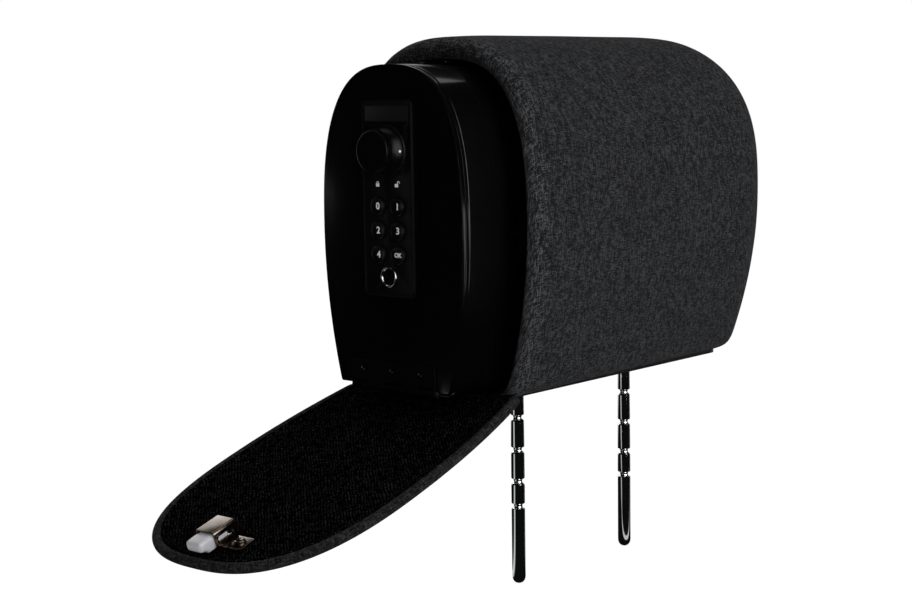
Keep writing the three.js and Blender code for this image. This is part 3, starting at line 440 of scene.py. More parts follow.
def wovenGroup():
    # plain weave of heathered threads: colour streaks along each thread, painted shade in the
    # gaps between threads, and its height
    tree, given, made = newTree("wovenCloth", "ShaderNodeTree", [
        ("Vector", "Vector"), ("Pitch", "Float", 0.0008), ("Dark", "Color", (0, 0, 0, 1)),
        ("Light", "Color", (1, 1, 1, 1)), ("Fleck", "Float", 0.5)],
        [("Color", "Color"), ("Height", "Float"), ("Thread", "Float")])
    wander = newNode(tree, "ShaderNodeTexNoise", Vector=given["Vector"], Scale=weave["wander"])
    reach = weave["wanderReach"]
    shifted = vectorCalc(tree, "MULTIPLY_ADD", wander.outputs["Color"], (reach, reach, 0.0),
                         given["Vector"])
    parts = axisParts(tree, shifted)
    across = calc(tree, "DIVIDE", parts["X"], given["Pitch"])
    along = calc(tree, "DIVIDE", parts["Y"], given["Pitch"])
    column, row = calc(tree, "FLOOR", across), calc(tree, "FLOOR", along)
    warpRound, weftRound = arch(tree, across), arch(tree, along)
    over = calc(tree, "PINGPONG", plus(tree, column, row), 1.0)
    under = calc(tree, "SUBTRACT", 1.0, over)
    height = plus(tree, times(tree, warpRound, over, spread(tree, weftRound, 0, 1, 0.55, 1)),
                  times(tree, weftRound, under, spread(tree, warpRound, 0, 1, 0.55, 1)))

    def threadTone(lane, run, seed):
        spot = newNode(tree, "ShaderNodeCombineXYZ", X=times(tree, lane, weave["lane"]),
                       Y=times(tree, run, weave["run"]), Z=seed)
        return noise(tree, spot.outputs[0], 1.0, 2.0, 0.6)

    warpTone = threadTone(column, along, weave["seeds"][0])
    weftTone = threadTone(row, across, weave["seeds"][1])
    tone = plus(tree, times(tree, warpTone, over), times(tree, weftTone, under))
    both = times(tree, plus(tree, warpTone, weftTone), 0.5)
    tone = plus(tree, times(tree, tone, 0.6), times(tree, both, 0.4))
    light = calc(tree, "POWER", spread(tree, tone, 0.41, 0.65), 1.4)
    colour = blendColour(tree, times(tree, light, given["Fleck"]), given["Dark"], given["Light"])
    # painted shade: the colour darkens towards the gap colour where the threads dip between one
    # another
    gap = spread(tree, height, 0.0, 0.9, 0.4, 0.0)
    feed(tree, made["Color"], blendColour(tree, gap, colour, weave["gap"]))
    feed(tree, made["Height"], plus(tree, height, times(tree, tone, 0.5)))
    feed(tree, made["Thread"], tone)
    return tree


def grainGroup():
    # fine orange-peel or moulding grain, slow uneven patches, and specks
    tree, given, made = newTree("fineGrain", "ShaderNodeTree", [
        ("Vector", "Vector"), ("Scale", "Float", 900.0)],
        [("Height", "Float"), ("Patch", "Float"), ("Speck", "Float")])
    spot = given["Vector"]
    fine = noise(tree, spot, given["Scale"], 3.0, 0.55)
    coarse = noise(tree, spot, times(tree, given["Scale"], 0.23), 2.0)
    feed(tree, made["Height"], plus(tree, times(tree, fine, 0.7), times(tree, coarse, 0.3)))
    feed(tree, made["Patch"], noise(tree, spot, 22.0, 4.0, 0.6, 0.4))
    cells = newNode(tree, "ShaderNodeTexVoronoi", Vector=spot, Scale=160.0, Randomness=1.0)
    feed(tree, made["Speck"], spread(tree, cells.outputs["Distance"], 0.03, 0.11, 1.0, 0.0))
    return tree


def wearGroup():
    # a mask along outer edges, broken up by noise
    tree, given, made = newTree("edgeWear", "ShaderNodeTree", [
        ("Vector", "Vector"), ("Amount", "Float", 0.5)], [("Mask", "Float")])
    shape = tree.nodes.new("ShaderNodeNewGeometry")
    edge = spread(tree, shape.outputs["Pointiness"], 0.52, 0.62)
    broken = spread(tree, noise(tree, given["Vector"], 260.0, 4.0, 0.7), 0.42, 0.62)
    feed(tree, made["Mask"], times(tree, edge, broken, given["Amount"]))
    return tree


groups = {"woven": wovenGroup(), "grain": grainGroup(), "wear": wearGroup()}


def useGroup(tree, group, **values):
    return newNode(tree, "ShaderNodeGroup", {"node_tree": groups[group]}, **values).outputs


def newMaterial(name):
    material = bpy.data.materials.new(name)
    material.use_nodes = True
    tree = material.node_tree
    place = tree.nodes.new("ShaderNodeTexCoord").outputs
    return material, tree, tree.nodes["Principled BSDF"], place


def bumpFrom(tree, height, strength, depth):
    return newNode(tree, "ShaderNodeBump", Strength=strength, Distance=depth,
                   Height=height).outputs["Normal"]


def toned(colour, factor):
    return tuple(min(c * factor, 1.0) for c in rgb(colour))


def hardFinish(name, colour, roughness, metallic=0.0, coat=0.0, grain=900.0, depth=0.00002,
               uneven=0.12, wear=0.15, worn=0.12, tint=0.25, specular=0.5, dust=0.0,
               coatRough=0.12):
    # paint, plastic or bare metal: grain, uneven gloss, slow tone changes and worn edges
    material, tree, shader, place = newMaterial(name)
    fine = useGroup(tree, "grain", Vector=place["Object"], Scale=grain)
    mask = useGroup(tree, "wear", Vector=place["Object"], Amount=wear)["Mask"]
    base = blendColour(tree, fine["Patch"], toned(colour, 1 - tint), toned(colour, 1 + tint))
    if dust:
        base = blendColour(tree, times(tree, fine["Speck"], dust), base, 0.12)
    feedAll(tree, shader, Base_Color=blendColour(tree, mask, base, worn),
            Roughness=spread(tree, fine["Patch"], 0.25, 0.75, roughness - uneven / 2,
                             roughness + uneven / 2),
            Normal=bumpFrom(tree, fine["Height"], 0.5, depth), Metallic=metallic,
            Coat_Weight=coat, Coat_Roughness=coatRough, Specular_IOR_Level=specular)
    return material


def clothFinish(name, dark, light, pitch, fleck, mouth=False):
    material, tree, shader, place = newMaterial(name)
    threads = useGroup(tree, "woven", Vector=place["UV"], Pitch=pitch, Dark=dark, Light=light,
                       Fleck=fleck)
    slow = spread(tree, noise(tree, place["Object"], 14.0, 3.0, 0.55), 0.3, 0.7, 0.0, 0.22)
    tone = blendColour(tree, slow, threads["Color"], (0.012, 0.012, 0.013))
    if mouth:  # a lighter band on the roll round the mouth, and painted shade where the cloth turns in towards the mouth
        x = axisParts(tree, place["Object"])["X"]
        lighterBand = times(tree, spread(tree, x, -0.131, -0.143, 0.0, 0.3),
                       spread(tree, threads["Thread"], 0.5, 0.62))
        tone = blendColour(tree, lighterBand, tone, toned(light, 1.7))
        # painted shade: the cloth darkens almost to black where it turns in towards the mouth
        inner = spread(tree, x, -0.1475, -0.1505, 0.0, 0.45)
        tone = blendColour(tree, inner, tone, (0.004, 0.004, 0.0045))
    fuzz = noise(tree, place["Object"], 2600.0, 2.0, 0.6)
    height = plus(tree, threads["Height"], times(tree, fuzz, 0.35))
    feedAll(tree, shader, Base_Color=tone, Normal=bumpFrom(tree, height, 0.6, 0.00025),
            Roughness=spread(tree, threads["Thread"], 0.3, 0.7, 0.98, 0.82),
            Sheen_Weight=0.02, Sheen_Roughness=0.45, Sheen_Tint=(0.6, 0.62, 0.66),
            Specular_IOR_Level=0.03)
    return material


def stitchRows(tree, place):
    # diagonal rows of stitches from the cloth's map, each a little raised bead
    spot, flat = place["Object"], axisParts(tree, place["UV"])
    drift = times(tree, calc(tree, "SUBTRACT", noise(tree, spot, 90.0, 3.0), 0.5), 0.006)
    rows = calc(tree, "DIVIDE", plus(tree, flat["X"], flat["Y"], drift), 0.0028)
    along = calc(tree, "SUBTRACT", flat["Y"], flat["X"])
    shift = times(tree, calc(tree, "FLOOR", rows), 0.37)
    beads = plus(tree, calc(tree, "DIVIDE", along, 0.0036), shift)
    bead = plus(tree, 0.25, times(tree, arch(tree, beads), 0.75))
    worn = spread(tree, noise(tree, spot, 330.0, 2.0), 0.38, 0.62, 0.35, 1.2)
    return times(tree, arch(tree, rows), bead, worn)


def knitFinish(name, dark, light, sheen=0.0, scale=1500.0, stitched=False):
    # black lining or felt: yarn, patches, a little lint, and on the stitched lining painted shade
    # between the raised rows
    material, tree, shader, place = newMaterial(name)
    spot = place["Object"]
    yarn = noise(tree, vectorCalc(tree, "MULTIPLY", spot, (1.0, 0.35, 1.0)), scale, 3.0, 0.7)
    patch = noise(tree, spot, 45.0, 3.0, 0.6)
    lint = useGroup(tree, "grain", Vector=spot, Scale=700.0)["Speck"]
    rare = spread(tree, noise(tree, spot, 60.0, 1.0), 0.66, 0.72)
    tone = blendColour(tree, spread(tree, yarn, 0.4, 0.75), dark, light)
    tone = blendColour(tree, spread(tree, patch, 0.3, 0.7, 0.0, 0.35), tone, dark)
    height = yarn
    if stitched:
        raised = stitchRows(tree, place)
        # painted shade: the lining darkens to a tenth of its dark tone in the grooves between the
        # raised rows
        tone = blendColour(tree, spread(tree, raised, 0.25, 0.95), toned(dark, 0.1), tone)
        height = plus(tree, times(tree, yarn, 0.3), times(tree, raised, 1.4))
    feedAll(tree, shader, Normal=bumpFrom(tree, height, 0.7, 0.0002), Roughness=0.96,
            Base_Color=blendColour(tree, times(tree, lint, rare), tone, (0.10, 0.095, 0.09)),
            Sheen_Weight=sheen, Sheen_Roughness=0.4, Specular_IOR_Level=0.0)
    return material


def brushedFinish(name, colour, roughness, run, scale=1400.0, metallic=1.0, wear=0.2):
    # metal with drawing lines along one direction: run stretches the noise
    material, tree, shader, place = newMaterial(name)
    spot = place["Object"]
    lines = noise(tree, vectorCalc(tree, "MULTIPLY", spot, run), scale, 3.0, 0.6)
    patch = useGroup(tree, "grain", Vector=spot, Scale=500.0)["Patch"]
    mask = useGroup(tree, "wear", Vector=spot, Amount=wear)["Mask"]
    darker = toned(colour, 0.72)
    base = blendColour(tree, spread(tree, lines, 0.3, 0.7), darker, colour)
    base = blendColour(tree, times(tree, patch, 0.35), base, darker)
    feedAll(tree, shader, Base_Color=blendColour(tree, mask, base, (0.85, 0.84, 0.82)),
            Roughness=spread(tree, lines, 0.25, 0.75, roughness * 0.75, roughness * 1.3),
            Normal=bumpFrom(tree, lines, 0.4, 0.000015), Metallic=metallic)
    return material


def boardFinish():
    # green solder mask over copper tracks
    material, tree, shader, place = newMaterial("circuitBoard")
    spot = place["Object"]
    tracks = newNode(tree, "ShaderNodeTexBrick", {"offset": 0.35}, Vector=spot, Scale=240.0,
                     Mortar_Size=0.03).outputs["Fac"]
    line = spread(tree, noise(tree, vectorCalc(tree, "MULTIPLY", spot, (0.2, 1, 1)), 120.0, 1.0),
                  0.48, 0.53)
    colour = blendColour(tree, times(tree, tracks, line), (0.006, 0.055, 0.022),
                         (0.03, 0.16, 0.06))
    feedAll(tree, shader, Base_Color=colour, Roughness=spread(tree, line, 0, 1, 0.35, 0.5),
            Normal=bumpFrom(tree, tracks, 0.3, 0.00003), Coat_Weight=0.3)
    return material


clothTones = (0.0072, 0.0074, 0.008), (0.088, 0.09, 0.094)
finish = {
    "cloth": clothFinish("heatherCloth", *clothTones, 0.00085, 0.85, mouth=True),
    "flapCloth": clothFinish("flapCloth", *clothTones, 0.00085, 0.85),
    "binding": clothFinish("bindingCloth", (0.0055, 0.0057, 0.0062), (0.06, 0.061, 0.064),
                           0.0008, 0.75),
    "lining": knitFinish("ribbedLining", 0.002, (0.05, 0.05, 0.0505), stitched=True),
    "felt": knitFinish("blackFelt", 0.002, 0.008, 0.02, 900.0),
    "paint": hardFinish("blackPaint", (0.0007, 0.0007, 0.00075), 0.4, coat=0.8, grain=1100.0,
                        uneven=0.1, worn=0.003, specular=0.02, coatRough=0.11),
    "matt": hardFinish("mattBlack", (0.001, 0.001, 0.0011), 0.65, depth=0.00003, wear=0.0,
                       specular=0.06),
    "plastic": hardFinish("blackPlastic", (0.0017, 0.0017, 0.0018), 0.42, grain=1500.0,
                          depth=0.00003, uneven=0.14, wear=0.2, worn=0.04, dust=0.05,
                          specular=0.12),
    "knobPlastic": hardFinish("knobPlastic", (0.0013, 0.0013, 0.0014), 0.34, coat=0.05,
                              grain=1800.0, depth=0.00001, uneven=0.1, wear=0.3, worn=0.02,
                              specular=0.04),
    "keyCap": hardFinish("keyCap", (0.002, 0.002, 0.0022), 0.3, grain=1800.0, depth=0.00001,
                         wear=0.2, worn=0.05, specular=0.25),
    "gloss": hardFinish("glossBlack", (0.002, 0.002, 0.0022), 0.16, coat=0.4, grain=300.0,
                        depth=0.000004, uneven=0.08, wear=0.05, worn=0.02, specular=0.3),
    "label": hardFinish("labelSatin", (0.0045, 0.0045, 0.0047), 0.5, grain=1400.0,
                        depth=0.00001, uneven=0.1, wear=0.0, specular=0.3),
    "thread": hardFinish("blackThread", (0.002, 0.002, 0.0021), 0.9, grain=3000.0,
                         depth=0.00005, specular=0.0),
    "board": hardFinish("flapBoard", 0.01, 0.85, grain=700.0, depth=0.00008),
    "ink": hardFinish("whiteInk", (0.72, 0.73, 0.75), 0.55, grain=2000.0, depth=0.00001,
                      wear=0.0, tint=0.08),
    "nylon": hardFinish("whiteNylon", (0.5, 0.5, 0.53), 0.4, grain=800.0, wear=0.1,
                        worn=(0.6, 0.6, 0.62), tint=0.06, uneven=0.1),
    "rubber": hardFinish("rubber", 0.008, 0.75, grain=1200.0, depth=0.00005),
    "wrap": hardFinish("batteryWrap", (0.05, 0.052, 0.06), 0.3, metallic=0.3, coat=0.4,
                       grain=300.0),
    "chrome": hardFinish("chrome", (0.62, 0.64, 0.65), 0.07, metallic=1.0, grain=250.0,
                         depth=0.000006, uneven=0.06, wear=0.0, tint=0.12),
    "ringMetal": hardFinish("ringMetal", (0.55, 0.55, 0.57), 0.2, metallic=1.0, grain=600.0,
                            depth=0.00001, uneven=0.1, wear=0.1, worn=0.8),
    "nickel": brushedFinish("nickelStrip", (0.108, 0.083, 0.063), 0.2, (1.0, 0.06, 1.0)),
    "zinc": brushedFinish("zincPlate", (0.40, 0.41, 0.43), 0.38, (0.08, 1.0, 1.0), 700.0),
    "darkZinc": brushedFinish("blackZinc", (0.008, 0.008, 0.0085), 0.4, (0.08, 1.0, 1.0), 700.0,
                              0.4, wear=0.0),
    "steel": brushedFinish("plainSteel", (0.42, 0.42, 0.43), 0.3, (1.0, 0.1, 1.0), 900.0),
    "circuit": boardFinish(),
}
print("finishes ready:", len(finish))


# geometry node trees for what repeats or follows a path
def geometryTree(name, inputs):
    ends = [("Geometry", "Geometry")]
    return newTree(name, "GeometryNodeTree", ends + inputs + [("Material", "Material")], ends)


def aimed(tree, axis, vector):
    return newNode(tree, "FunctionNodeAlignRotationToVector", {"axis": axis},
                   Vector=vector).outputs["Rotation"]


def partOf(tree, given, label):
    return newNode(tree, "GeometryNodeObjectInfo", Object=given[label]).outputs["Geometry"]


def evenPath(tree, given, step):
    # the line of edges as a curve with points at even steps
    path = newNode(tree, "GeometryNodeMeshToCurve", Mesh=given["Geometry"]).outputs[0]
    return newNode(tree, "GeometryNodeResampleCurve", {"mode": "LENGTH"}, Curve=path,
                   Length=given[step]).outputs[0]


def onPoints(tree, given, points, rotation):
    return newNode(tree, "GeometryNodeInstanceOnPoints", Points=points,
                   Instance=partOf(tree, given, "Part"), Rotation=rotation).outputs[0]


def endTree(tree, given, made, geometry):
    real = newNode(tree, "GeometryNodeRealizeInstances", Geometry=geometry).outputs[0]
    coloured = newNode(tree, "GeometryNodeSetMaterial", Geometry=real,
                       Material=given["Material"])
    feed(tree, made["Geometry"], coloured.outputs[0])
    return tree


def pointsTree():
    # a part on each point of a mesh, aimed one way and spun at random
    tree, given, made = geometryTree("headsOnPoints", [
        ("Part", "Object"), ("Direction", "Vector", (0, 0, 1)), ("Seed", "Int", 3)])
    many = onPoints(tree, given, given["Geometry"], aimed(tree, "Z", given["Direction"]))
    spin = newNode(tree, "FunctionNodeRandomValue", {"data_type": "FLOAT"}, Seed=given["Seed"])
    low, high = [socket for socket in spin.inputs if socket.type == "VALUE"][:2]
    low.default_value, high.default_value = 0.0, 2 * math.pi
    angle = next(socket for socket in spin.outputs if socket.type == "VALUE")
    turnBy = newNode(tree, "ShaderNodeCombineXYZ", Z=angle).outputs[0]
    spun = newNode(tree, "GeometryNodeRotateInstances", Instances=many, Rotation=turnBy)
    return endTree(tree, given, made, spun.outputs[0])


def sweepTree():
    # a profile carried along a line of edges; the line lies in the XY plane
    tree, given, made = geometryTree("profileAlongEdge", [
        ("Profile", "Object"), ("Step", "Float", 0.003)])
    level = newNode(tree, "GeometryNodeSetCurveNormal", {"mode": "Z_UP"},
                    Curve=evenPath(tree, given, "Step")).outputs[0]
    outline = newNode(tree, "GeometryNodeMeshToCurve", Mesh=partOf(tree, given, "Profile"))
    body = newNode(tree, "GeometryNodeCurveToMesh", Curve=level,
                   Profile_Curve=outline.outputs[0], Fill_Caps=True)
    return endTree(tree, given, made, body.outputs[0])


def stitchTree():
    # a part at even steps along a line of edges
    tree, given, made = geometryTree("stitchesAlongEdge", [
        ("Part", "Object"), ("Pitch", "Float", 0.003)])
    way = tree.nodes.new("GeometryNodeInputTangent").outputs[0]
    many = onPoints(tree, given, evenPath(tree, given, "Pitch"), aimed(tree, "X", way))
    return endTree(tree, given, made, many)


trees = {"points": pointsTree(), "sweep": sweepTree(), "stitch": stitchTree()}


def runTree(piece, tree, **values):
    modifier = piece.modifiers.new("made", "NODES")
    modifier.node_group = trees[tree]
    for item in trees[tree].interface.items_tree:
        if item.item_type == "SOCKET" and item.in_out == "INPUT" and item.name in values:
            modifier[item.identifier] = values[item.name]
    bpy.context.view_layer.update()
    settle(piece)
    for value in values.values():
        if isinstance(value, bpy.types.Object):
            bpy.data.objects.remove(value)
    return piece


def crossHead(radius, height, recess):
    # a low screw head with a cross recess, about +Z
    rim = [(0, 0), (radius, 0), (radius, height * 0.35), (radius * 0.86, height * 0.75),
           (radius * 0.55, height * 0.97), (0, height)]
    head = turned("head", rim, (0, 0, 0), 24, (0, 0, 1))
    arm, slim = radius * 0.62, radius * 0.13
    for width, length in ((slim, arm), (arm, slim)):
        cutAway(head, prism("slot", boxOutline(-width, width, -length, length),
                            height - recess, height + 1, axesZ))
    return head


def rivetHead(radius, height):
    rim = [(0, 0), (radius, 0), (radius * 0.96, height * 0.5), (radius * 0.7, height * 0.9),
           (0, height)]
    return turned("rivet", rim, (0, 0, 0), 20, (0, 0, 1))


def heads(name, points, direction, part, body, look, seed=3):
    piece = runTree(pieceFrom(name, points), "points", Part=part, Direction=direction,
                    Seed=seed, Material=finish[look])
    return finishPiece(piece, body, look)


# headrest: one padded form, from the mouth's inner edge round to the far end
cover = {"around": 88, "step": 8.5, "noseRings": 12, "rollRings": 8, "bulge": 10.0,
         "inner": 9.0, "capRings": 5, "crown": 1.2, "shrink": 0.9, "heldWidth": 36.0,
         "heldHeight": 20.0, "heldEnd": 158.0}
swelling = {"pressure": 4.0, "most": 1.8, "frames": 20, "soften": 4, "mass": 0.3,
            "tension": 20, "shear": 8, "bending": 2}
folds = {"depth": 0.2, "count": 34, "waves": 7, "start": -143.5, "middle": -147.5,
         "reach": 4.0, "centreZ": 130.0, "halfY": 83.0, "halfZ": 120.0,
         "slow": 0.12, "slowStart": -140.0, "slowReach": 30.0}
sleeveRoom = {"x": (-143.7, 129.6), "gap": 1.5}
mouthRoom = {"x": (-143.4, -110.0), "gap": 0.4}
traySlot = ((-160.0, 155.3), (-33.3, 33.3), (-8.0, 11.2))


def ringAt(x, outline):
    return np.column_stack([np.full(len(outline), x), outline])


def coverRings():
    count, shrink = cover["around"], cover["shrink"]
    near, far, radius = bodyForm["near"], bodyForm["far"], bodyForm["topRadius"]
    inner, outer = sectionOutline(mouthForm, count), bodyOutline(near, count, shrink)
    rings = [ringAt(near + cover["inner"], inner)]
    for t in np.linspace(0.0, 1.0, cover["rollRings"] + 1):
        x = near - 0.3 - cover["bulge"] * math.sin(math.pi * t) ** 0.7
        rings.append(ringAt(x, inner + (outer - inner) * t))
    straight = far - radius
    steps = int((straight - near) / cover["step"])
    for x in np.linspace(near, straight, steps + 1)[1:]:
        rings.append(ringAt(x, bodyOutline(x, count, shrink)))
    for a in np.linspace(0, math.pi / 2, cover["noseRings"] + 1)[1:]:
        x = far - radius * (1 - math.sin(a))
        rings.append(ringAt(x - shrink * math.sin(a), bodyOutline(x, count, shrink)))
    last = rings[-1]
    middle = last.mean(0)
    for s in np.linspace(1, 0, cover["capRings"] + 1)[1:]:
        ring = middle + (last - middle) * s
        ring[:, 0] += cover["crown"] * (1 - s ** 2)
        rings.append(ring if s else ring[:1])
    return rings


def layCloth(piece, rings, flatFrom):
    # round the section from its top, and along from the mouth; the far end is laid flat
    count = len(rings[0])
    rings = np.array(rings)
    path = np.cumsum(np.linalg.norm(np.diff(rings, axis=0, prepend=rings[:1]), axis=2), axis=0)
    steps = np.linalg.norm(rings - np.roll(rings, 1, 1), axis=2).sum(1) / count
    points = coordsOf(piece.data)

    def spotsOf(corners):
        if min(corners) // count >= flatFrom:
            return [points[s][1:] for s in corners]
        wraps = len(corners) == 4 and len({s % count for s in corners} & {0, count - 1}) == 2
        spots = []
        for s in corners:
            i, j = divmod(s, count)
            turn = count if wraps and j == 0 else j
            spots.append(((turn - count / 2) * steps[i] * mm, path[i][j] * mm))
        return spots

    layMap(piece, spotsOf)


def swell(piece, held):
    # the cloth blown out a little over its foam, no point further than a cap
    before = coordsOf(piece.data)
    piece.vertex_groups.new(name="held").add(held, 1.0, "REPLACE")
    cloth = piece.modifiers.new("cloth", "CLOTH")
    settings = cloth.settings
    settings.quality = 4
    settings.mass = swelling["mass"]
    settings.tension_stiffness = settings.compression_stiffness = swelling["tension"]
    settings.shear_stiffness = swelling["shear"]
    settings.bending_stiffness = swelling["bending"]
    settings.use_pressure = True
    settings.uniform_pressure_force = swelling["pressure"]
    settings.effector_weights.gravity = 0
    settings.vertex_group_mass = "held"
    cloth.collision_settings.use_collision = False
    cloth.point_cache.frame_start, cloth.point_cache.frame_end = 1, swelling["frames"]
    for step in range(1, swelling["frames"] + 1):
        bpy.context.scene.frame_set(step)
    graph = bpy.context.evaluated_depsgraph_get()
    move = coordsOf(piece.evaluated_get(graph).data) - before
    piece.modifiers.remove(cloth)
    bpy.context.scene.frame_set(1)
    size = np.linalg.norm(move, axis=1, keepdims=True)
    print("cloth moved, mm:", round(float(size.max()) / mm, 2))
    move *= np.minimum(1.0, swelling["most"] * mm / np.maximum(size, 1e-9))
    sheet = move[:-1].reshape(-1, cover["around"], 3)
    for step in range(swelling["soften"]):  # taut cloth has no small lumps
        beside = (np.roll(sheet, 1, 1) + np.roll(sheet, -1, 1)) / 2
        ahead = (np.concatenate([sheet[:1], sheet[:-1]])
                 + np.concatenate([sheet[1:], sheet[-1:]])) / 2
        sheet = sheet * 0.4 + beside * 0.3 + ahead * 0.3
    move[:-1] = sheet.reshape(-1, 3)
    placePoints(piece, before + move)
    piece.vertex_groups.clear()


def gather(piece):
    # short folds across the mouth's edge, and slow waves in the cloth over the foam
    waves = [(random.uniform(0.7, 1.5), random.uniform(0, 6.28), random.uniform(0.5, 1.0))
             for step in range(folds["waves"])]
    spots = np.array([v.co for v in piece.data.vertices])
    normals = np.array([v.normal for v in piece.data.vertices])
    x, y, z = spots.T
    angle = np.arctan2(y / (folds["halfY"] * mm),
                       (z - folds["centreZ"] * mm) / (folds["halfZ"] * mm))
    fold = sum(size * np.sin(angle * folds["count"] * pace + start)
               for pace, start, size in waves) / (len(waves) / 2)
    reach = folds["reach"] * mm
    depth = np.clip((folds["start"] * mm - x) / reach, 0, 1)
    inward = np.clip((reach - np.abs(x - folds["middle"] * mm)) / reach, 0, 1)
    slow = (np.sin(x * 31 + z * 17 + 0.7) * np.sin(z * 27 - x * 9 + 2.1 + y * 20)
            + 0.5 * np.sin(x * 63 - z * 45 + 1.3))
    within = np.clip((x - folds["slowStart"] * mm) / (folds["slowReach"] * mm), 0, 1)
    move = folds["depth"] * mm * fold * depth * inward + folds["slow"] * mm * slow * within
    placePoints(piece, spots + normals * move[:, None])


def makeCover():
    rings = coverRings()
    piece = lofted("headrestCover", rings)
    layCloth(piece, rings[:-1], len(rings) - 1 - cover["capRings"])
    points = np.concatenate(rings)
    foot = ((np.abs(points[:, 1]) < cover["heldWidth"])
            & (points[:, 2] < cover["heldHeight"]) & (points[:, 0] < cover["heldEnd"]))
    foot[:3 * cover["around"]] = True
    swell(piece, np.flatnonzero(foot).tolist())
    fine = piece.modifiers.new("fine", "SUBSURF")
    fine.levels = fine.render_levels = 2
    gather(settle(piece))
    rooms = [prism("room", sectionOutline(insetForm(form, -space["gap"]), 120), *space["x"])
             for form, space in ((sleeveForm, sleeveRoom), (mouthForm, mouthRoom))]
    return cutAway(piece, *rooms, block("traySlot", *traySlot))


headrestCover = finishPiece(makeCover(), "headrest", "cloth",
                            ["fabric_cover", "foam_body", "mouth_roll"], 60)
print("headrest cover made")


# base tray and posts
tray = {"halfWidth": 33.0, "front": -141.0, "rear": 155.0, "wall": 2.2, "floor": 3.0,
        "top": 10.5, "corner": 12.0, "edge": 0.6, "screwX": (-112.0, 122.0), "screwY": 21.0,
        "screwSink": (4.2, 1.3), "postHole": 11.3, "ribs": (-20.0, -6.7, 6.7, 20.0),
        "ribWidth": 1.2, "ribHalf": 26.0, "ribDepth": 0.5, "notch": (15.0, 51.0, 3.0, 4.8),
        "slope": (4.5, 0.4, 8.2)}
posts = {"x": {"near": -67.5, "far": 67.5}, "radius": 5.0, "tip": -149.1, "depth": 1.9,
         "width": 3.6, "grooves": (-23.9, -48.0, -71.6, -90.4), "collar": 11.0}
screwSpots = [(x, y) for x in tray["screwX"] for y in (-tray["screwY"], tray["screwY"])]


def makeTray():
    front, rear, wall = tray["front"], tray["rear"], tray["wall"]
    middle, length, width = (front + rear) / 2, rear - front, 2 * tray["halfWidth"]
    piece = prism("baseTray", roundedOutline(width, length, tray["corner"], middle, steps=12),
                  0, tray["top"], axesZ)
    inner = roundedOutline(width - 2 * wall, length - 2 * wall, tray["corner"] - wall, middle,
                           steps=12)
    reach, half, low, high = tray["notch"]
    run, lip, rise = tray["slope"]
    slope = np.array([(rear - run, -1), (rear + 2, -1), (rear + 2, rise), (rear - lip, rise),
                      (rear - run, 0.0)])
    sink, depth = tray["screwSink"]
    rib = tray["ribWidth"] / 2
    cutAway(piece, prism("pocket", inner, tray["floor"], tray["top"] + 5, axesZ),
            block("notch", (front - 5, front + reach), (-half, half), (low, high)),
            prism("slope", slope, -60, 60, axesY),
            *[prism("hole", circleOutline(tray["postHole"], 0, x), -5, 5, axesZ)
              for x in posts["x"].values()],
            *[prism("sink", circleOutline(sink, y, x, 28), -2, depth, axesZ)
              for x, y in screwSpots],
            *[block("groove", (x - rib, x + rib), (-tray["ribHalf"], tray["ribHalf"]),
                    (-2, tray["ribDepth"])) for x in tray["ribs"]])
    return roundEdges(piece, tray["edge"], 3)


finishPiece(makeTray(), "headrest", "plastic", ["base_tray"])
heads("trayScrews", [(x, y, 1.2) for x, y in screwSpots], (0, 0, -1), crossHead(3.4, 1.1, 0.8),
      "headrest", "darkZinc", 11)


def postProfile():
    r, low, half = posts["radius"], posts["tip"], posts["width"] / 2
    profile = [(0, low), (1.6, low + 0.15), (3.0, low + 0.8), (4.1, low + 2.0),
               (4.75, low + 3.6), (r, low + 5.6)]
    for level in sorted(posts["grooves"]):
        square = level == min(posts["grooves"])  # the lowest groove has square shoulders
        profile += [(r, level - half - (0.3 if square else 1.0)),
                    (r - (0.25 if square else 0.7), level - half)]
        for a in np.linspace(0, math.pi, 11)[1:-1]:
            dip = (posts["depth"] - 0.25) * math.sin(a) ** 0.7
            profile.append((r - 0.25 - dip, level - math.cos(a) * half))
        upper = level + half
        profile += [(r - 0.3, upper), (r - 0.08, upper + 0.2), (r, upper + 0.5)]
    collar = posts["collar"]
    return profile + [(r, -0.2), (r + 0.4, 0.5), (collar - 0.9, 0.5), (collar - 0.2, 0.75),
                      (collar, 1.4), (collar, 3.0), (4.0, 3.0), (4.0, 8.3), (3.6, 8.7), (0, 8.7)]


for name, x in posts["x"].items():
    post = turned("post" + name.capitalize(), postProfile(), (x, 0, 0), 64, (0, 0, 1))
    finishPiece(post, "headrest", "chrome", ["post_" + name], 28)
print("base and posts made")

# sleeve, vault shell, frame and mat
sleeve = {"front": -143.3, "rear": 127.7, "hollowRear": 126.5, "wall": 1.2,
          "stop": ((21.5, 27.5), (-4, 4), (234.0, 237.2))}
vault = {"front": -192.8, "rear": 35.7, "wall": 1.6, "edge": 1.1,
         "lug": ((27.8, 33.8), (-4, 4), (232.8, 236.2))}
vaultFrame = {"front": -192.5, "rear": -190.7, "width": 8.0, "gap": 0.3, "notch": (39, 16.4)}
clear = 5.0  # how far a cutter passes the piece it cuts


def makeSleeve():
    piece = prism("sleeveTube", sectionOutline(insetForm(sleeveForm, -sleeve["wall"]), 200),
                  sleeve["front"], sleeve["rear"])
    cutAway(piece, prism("hollow", sectionOutline(sleeveForm, 200), sleeve["front"] - clear,
                         sleeve["hollowRear"]))
    return combine(piece, [block("stop", *sleeve["stop"])], "UNION")


def makeShell():
    piece = prism("vaultShell", sectionOutline(vaultForm, 260), vault["front"], vault["rear"])
    inner = sectionOutline(insetForm(vaultForm, vault["wall"]), 260)
    cutAway(piece, prism("hollow", inner, vault["front"] - clear, vault["rear"] - vault["wall"]))
    combine(piece, [block("lug", *vault["lug"])], "UNION")
    return roundEdges(piece, vault["edge"], 3)


